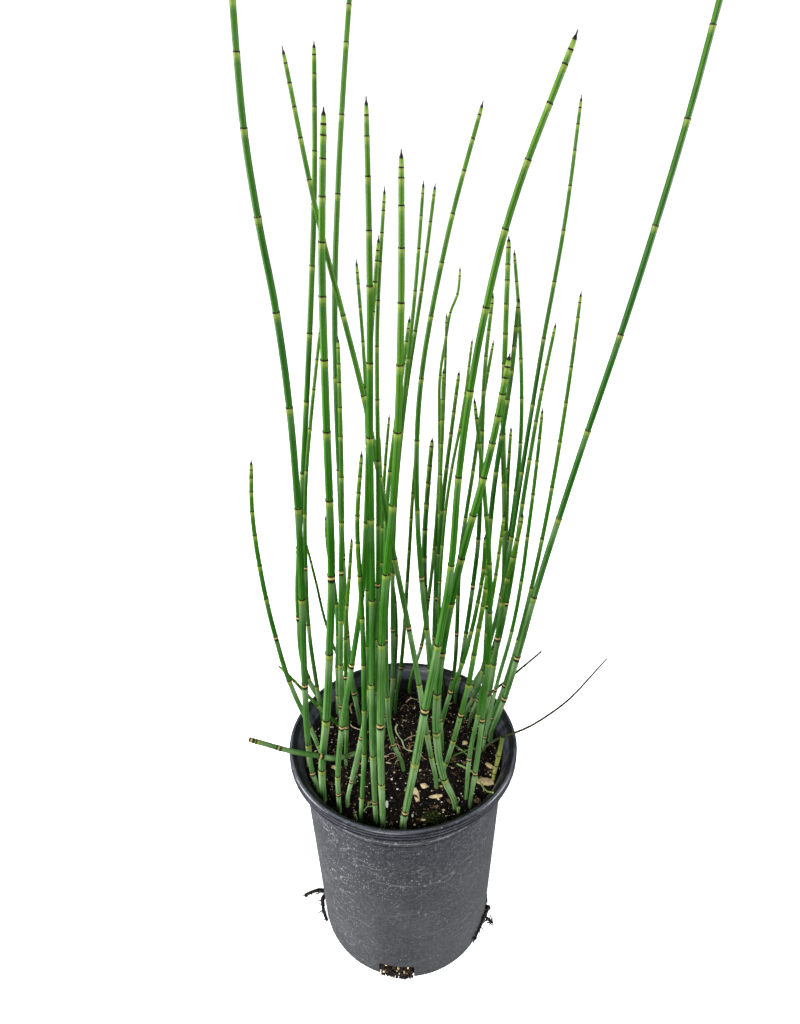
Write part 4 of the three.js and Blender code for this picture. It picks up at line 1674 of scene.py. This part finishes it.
    def _tuft(self, middle: Pair, reach: float, count: int) -> Iterator[Move]:
        """Plants blades of moss.

        Args:
            middle: The middle of the patch.
            reach: How wide the patch is, from its middle.
            count: How many blades it has.

        Yields:
            Which bit each is, where it goes and how dark it is.
        """
        draws = random.Random(self.seed)
        for _ in range(count):
            out, turn = reach * draws.random() ** 0.7, whirl(draws)
            x, y = middle[0] + out * math.cos(turn), middle[1] + 0.7 * out * math.sin(turn)
            if math.hypot(x, y) > self.soil.radius - MM:
                continue
            size = draws.uniform(0.9, 2.1) * MM
            lean = spun(whirl(draws)) @ spun(draws.uniform(0.1, 1.2), "X")
            yield Bit.LEAF, self._lift(x, y) @ lean @ Matrix.Scale(size, 4), draws.random()

    def _in_notches(self, count: int) -> Iterator[Move]:
        """Heaps crumbs in the drain notches.

        Args:
            count: How many, in all the notches together.

        Yields:
            Which bit each is, where it goes and how dark it is.
        """
        draws = random.Random(f"{self.seed} notches {count}")
        pot = self.soil.pot
        width, _, height = pot.notch
        for i in range(count):
            size = draws.uniform(*self.notch_sizes)
            across = draws.uniform(-0.5, 0.5) * (width - 1.5 * size)
            rise = draws.random() ** self.mostly_small
            up = size * 0.5 + (height - 1.6 * size) * rise
            out = math.sqrt(pot.radius(up) ** 2 - across**2) - self.notch_depth
            spill = self.notch_spill * (1 - rise) ** 3 * draws.random()
            place = Matrix.Translation((across, -out - spill, up))
            spin = spun(whirl(draws))
            notch = spun(pot.notch_turn + (i % pot.notches) * math.tau / pot.notches + math.pi / 2)
            wide, thick = draws.uniform(0.6, 1.0), draws.uniform(0.5, 0.8)
            scale = Matrix.Diagonal((size, size * wide, size * thick, 1))
            yield Bit.CRUMB, notch @ place @ spin @ scale, draws.random()


# ---------------------------------------------------------------- thin things


@dataclass(frozen=True)
class Cord:
    """A root, sprig or fibre, in millimetres: its places over the ground and its thickness at each end."""

    route: tuple[Place, ...]
    girth: Pair
    tone: float = 0.4
    flat: bool = False
    flat_half: Pair = (0.45 * MM, 0.1 * MM)
    sharpest: float = 60.0

    def build(self, name: str, ground: Callable[[float, float], float]) -> bpy.types.Object:
        """Models the cord.

        Args:
            name: The cord's name.
            ground: Gives the height of what it lies on.

        Returns:
            The cord.
        """
        places = [(x * MM, y * MM, ground(x * MM, y * MM) + up * MM) for x, y, up in self.route]
        line = curve(name, places, 5)
        line.data.use_fill_caps = True
        line.data.bevel_resolution = 1
        line.data.extrude, line.data.bevel_depth = self.flat_half if self.flat else (0.0, MM / 2)
        points = line.data.splines[0].bezier_points
        for i, point in enumerate(points):
            share = i / (len(points) - 1)
            point.radius = self.girth[0] + (self.girth[1] - self.girth[0]) * share
            point.tilt = math.radians(70 + 40 * math.sin(3 * i)) if self.flat else 0.0
        only(line)
        bpy.ops.object.convert(target="MESH")
        piece = named(name)
        mark(piece, "own", self.tone)
        shade_smooth(piece, self.sharpest)
        return piece


SPRIGS = (
    Cord(
        ((39.2, -12.8, 1), (49.7, -21.9, 2), (52.8, -33.3, 6), (56.2, -46.5, 13), (59.4, -53.6, 18)),
        (1.5, 1.2),
        0.25,
    ),
    Cord(((37.6, 5.1, 0.6), (42.5, -0.3, 1.8), (48.0, -5.4, 0.8)), (1.1, 0.7), 0.5),
    Cord(((37.3, -6.3, 0.6), (46.0, -2.4, 2.0), (54.6, 1.1, 0.7)), (1.0, 0.7), 0.6),
    Cord(((-30.2, -55.0, 0.5), (-25.4, -50.2, 2.0), (-22.4, -44.2, 1.2)), (1.1, 0.6), 0.2),
    Cord(((-25.4, -50.2, 2.0), (-21.0, -49.8, 2.4), (-18.4, -47.6, 1.0)), (0.8, 0.5), 0.2),
    Cord(((25.5, -27.6, 0.0), (23.8, -30.4, 3.2), (21.5, -33.8, 1.0)), (2.6, 0.5), 0.1),
    Cord(((36.9, -54.2, -1), (36.8, -54.4, 1.6), (36.7, -54.6, 4.4)), (2.8, 2.5), 0.3),
    Cord(((-32.8, -56.6, -1), (-32.9, -56.9, 1.5), (-33.0, -57.2, 4.0)), (2.6, 2.3), 0.0),
)
FIBRES = (
    Cord(((-41.4, 54.1, 0.6), (-42.2, 48.0, 1.6), (-40.9, 41.4, 0.5)), (1.5, 1.0), 0.5),
    Cord(((-41.3, 30.3, 0.6), (-39.2, 25.2, 1.4), (-32.2, 22.5, 0.5)), (1.0, 0.7), 0.2),
    Cord(((1.0, 9.5, 0.5), (5.9, 12.3, 1.6), (11.5, 15.6, 0.5)), (0.6, 0.4), 0.3),
    Cord(((2.9, 53.7, 0.5), (7.0, 56.0, 1.4), (12.1, 56.1, 0.4)), (0.8, 0.5), 0.4),
    Cord(((-14.6, -3.5, 0.5), (-13.0, -4.6, 1.1), (-11.0, -4.0, 0.5)), (0.9, 0.5), 0.1),
    Cord(((-12.7, -11.0, 0.5), (-10.8, -12.8, 1.2), (-8.6, -12.4, 0.5)), (0.9, 0.5), 0.1),
    Cord(((37.6, -42.4, 0.5), (38.0, -45.4, 2.0), (35.8, -47.8, 0.5)), (1.0, 0.5), 0.0),
    Cord(((-71.2, 1.0, -1), (-71.3, -4.5, 1.6), (-70.4, -11.5, -0.5)), (1.7, 1.5), 0.45),
    Cord(((66.0, 30.5, -1), (66.8, 31.8, 1.8), (67.2, 32.6, 4.6)), (2.6, 2.2), 1.0),
)
PEELS = (
    Cord(
        (
            (-4.3, 27.6, 1.2), (-5.6, 20.3, 2.4), (-3.2, 13.8, 1.0),
            (-0.8, 7.5, 2.2), (1.5, 1.6, 1.0), (6.8, -1.5, 1.8),
        ),
        (1.3, 0.9),
        0.2,
        True,
    ),
)
DRAIN_ROOTS = {
    "drain_roots_left": (
        Cord(((-67.4, 1.0, 4.0), (-73.0, 2.0, 5.4), (-80.0, 1.0, 4.6), (-87.0, 0.0, 1.5)), (3.5, 2.8)),
        Cord(
            (
                (-67.4, 0.0, 3.6), (-71.0, -3.4, 3.0), (-70.6, -9.0, 2.4), (-69.6, -14.0, 2.2),
                (-66.0, -22.4, 1.4),
            ),
            (3.6, 2.3),
        ),
    ),
    "drain_roots_right": (
        Cord(
            (
                (65.5, -15.3, 5.0), (68.6, -18.2, 9.0), (66.0, -24.2, 13.0), (63.1, -30.8, 15.5),
                (59.9, -36.7, 15.5), (56.8, -41.2, 13.0), (54.0, -44.4, 9.0),
            ),
            (3.1, 1.9),
        ),
        Cord(((63.6, -29.6, 15.0), (67.0, -30.5, 12.0), (70.5, -30.5, 8.0)), (2.3, 1.6)),
    ),
}


@dataclass
class Threads:
    """The thin things: sprigs, dry fibres and peel on the soil, and the roots at the drain notches."""

    soil: Soil
    seed: int = 11
    rootlets: int = 44
    curls: int = 22
    curl_step: float = 3.2
    lowest: float = 0.8

    def build(self) -> None:
        """Builds and dresses all of them."""
        sprig = CrumbFinish("green_sprig", paint("7f9a55"), paint("2f5a30"), paint("44552a"), 0.2, 0.3)
        dry = CrumbFinish("dry_fibre", paint("e0cfae"), paint("7d5a34"), paint("5a3a20"), 0.2, 0.5)
        pale = CrumbFinish("pale_peel", paint("c6cda6"), paint("6f8450"), paint("4f5a34"), 0.2, 0.4)
        root = CrumbFinish("black_root", paint("120d09"), paint("050403"), paint("030202"), 0.5, 0.6)
        self._piece("green_sprigs", SPRIGS, sprig, "stem")
        self._piece("dry_fibres", (*FIBRES, *self._tangle()), dry, "soil")
        self._piece("curly_peel", PEELS, pale, "soil")
        for node, cords in DRAIN_ROOTS.items():
            cords = (*cords, *self._rootlets(cords))
            self._piece(f"fibrous_{node}", cords, root, "root", node)

    def _piece(self, name: str, cords: Sequence[Cord], look: CrumbFinish, slot: str, *nodes: str) -> None:
        """Builds cords and joins them.

        Args:
            name: The piece's name.
            cords: The cords.
            look: What they are made of.
            slot: The material slot.
            *nodes: The CAD nodes that the piece stands for. Cords that stand for one lie on the floor.
        """
        ground = (lambda x, y: 0.0) if nodes else self.soil.height
        piece = joined(name, [cord.build(name, ground) for cord in cords])
        finish(piece, look.material(), slot, *nodes)

    def _tangle(self) -> Iterator[Cord]:
        """Strews short curls among the stems.

        Yields:
            The curls.
        """
        draws = random.Random(self.seed)
        for _ in range(self.curls):
            x, y = draws.gauss(4, 13), draws.gauss(6, 17)
            turn, bend = whirl(draws), draws.uniform(-0.9, 0.9)
            places = [(x, y, 0.4)]
            for up in (1.6, 2.2, 0.6):
                x, y = x + self.curl_step * math.cos(turn), y + self.curl_step * math.sin(turn)
                places.append((x, y, up * draws.uniform(0.5, 1.2)))
                turn += bend
            yield Cord(tuple(places), (draws.uniform(0.35, 0.6), 0.3), draws.uniform(0.45, 1.0))

    def _rootlets(self, cords: Sequence[Cord]) -> Iterator[Cord]:
        """Grows hair-thin rootlets out of thicker roots.

        Args:
            cords: The thicker roots.

        Yields:
            The rootlets.
        """
        draws = random.Random(f"{self.seed} {cords[0].route[0][0]}")
        for _ in range(self.rootlets):
            cord = draws.choice(cords)
            i = draws.randrange(len(cord.route) - 1)
            start = Vector(cord.route[i]).lerp(Vector(cord.route[i + 1]), draws.random())
            step = Vector((draws.gauss(0, 0.8), draws.gauss(0, 0.8), 0))
            places = [start]
            for k in range(3):
                step += Vector((draws.gauss(0, 0.5), draws.gauss(0, 0.5), 0))
                fall = max(start.z - 1.4 * (k + 1), self.lowest)
                places.append(Vector((*(places[-1] + step).xy, fall)))
            route = tuple(tuple(place) for place in places)
            yield Cord(route, (draws.uniform(0.7, 1.5), 0.4), draws.random())


# ---------------------------------------------------------------- the studio


@dataclass
class Studio:
    """A pale floor that curves up behind, soft light and the camera."""

    eye: Place = (0.9 * MM, -379.2 * MM, 571.9 * MM)
    dip: float = math.radians(27.8)
    roll: float = math.radians(-1.06)
    lens: float = 24.609
    half_width: float = 3.2
    sweep: tuple[Pair, ...] = ((0.9, 0.15), (0.8, 0.6), (0.6, 1.2), (0.3, 2.5), (0.0, 5.0))
    white: float = 0.18
    aim: Place = (0.0, 0.0, 0.25)

    def build(self) -> None:
        """Sets everything up."""
        self._floor()
        self._lights()
        self._camera()

    def _floor(self) -> None:
        """Lays the floor and curves its back edge up."""
        piece = started("floor", "plane", size=2 * self.half_width)
        with editing(piece):
            pick(piece, lambda co: co.y > 0)
            for run, rise in self.sweep:
                bpy.ops.mesh.extrude_edges_move(TRANSFORM_OT_translate={"value": (0, run, rise)})
        only(piece)
        bpy.ops.object.shade_smooth()
        piece.data.materials.append(FloorFinish().material())
        piece.visible_diffuse = False
        piece.visible_glossy = False
        piece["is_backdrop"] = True

    def _lights(self) -> None:
        """Sets a white world and three large soft lamps."""
        scene = bpy.context.scene
        scene.world = bpy.data.worlds.new("white_room")
        scene.world.use_nodes = True
        inputs = scene.world.node_tree.nodes["Background"].inputs
        inputs["Color"].default_value = (1.0, 1.0, 1.0, 1.0)
        inputs["Strength"].default_value = self.white
        scene.view_settings.view_transform = "Standard"
        self._lamp("key", (-0.6, -1.9, 1.4), 1.0, 76.0)
        self._lamp("left", (-1.7, -0.1, 0.5), 0.8, 80.0)
        self._lamp("right", (1.6, -0.2, 0.5), 0.8, 50.0)

    def _lamp(self, name: str, place: Place, size: float, power: float) -> None:
        """Hangs one lamp that looks at the plant.

        Args:
            name: The lamp's name.
            place: Where it hangs.
            size: How wide it is.
            power: How strong it is, in watts.
        """
        data = bpy.data.lights.new(name, "AREA")
        data.size = size
        data.energy = power
        lamp = bpy.data.objects.new(name, data)
        lamp.location = place
        ahead = Vector(self.aim) - Vector(place)
        lamp.rotation_euler = ahead.to_track_quat("-Z", "Y").to_euler()
        bpy.context.scene.collection.objects.link(lamp)

    def _camera(self) -> None:
        """Sets the camera up."""
        data = bpy.data.cameras.new("camera")
        data.lens = self.lens
        data.clip_start = 0.01
        camera = bpy.data.objects.new("camera", data)
        ahead = Vector((0, math.cos(self.dip), -math.sin(self.dip)))
        level_up = Vector((0, math.sin(self.dip), math.cos(self.dip)))
        level_right = Vector((1, 0, 0))
        turn, tilt = math.cos(self.roll), math.sin(self.roll)
        right = level_right * turn + level_up * tilt
        up = level_up * turn - level_right * tilt
        axes = Matrix((right, up, -ahead)).transposed()
        camera.matrix_world = Matrix.Translation(self.eye) @ axes.to_4x4()
        bpy.context.scene.collection.objects.link(camera)
        bpy.context.scene.camera = camera


def main() -> None:
    """Builds the whole scene and measures its sizes."""
    logging.basicConfig(level=logging.INFO, format="%(message)s")
    Studio().build()
    pot = Pot()
    pot.build()
    soil = Soil(pot)
    soil.build()
    clump = Clump()
    clump.build()
    Litter(soil, clump.feet).build()
    Threads(soil).build()
    bpy.context.view_layer.update()
    boxes = {"cad": CAD_BOX, "visual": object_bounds()}
    sizes = {key: [list(corner) for corner in box] for key, box in boxes.items()}


if __name__ == "__main__":
    main()
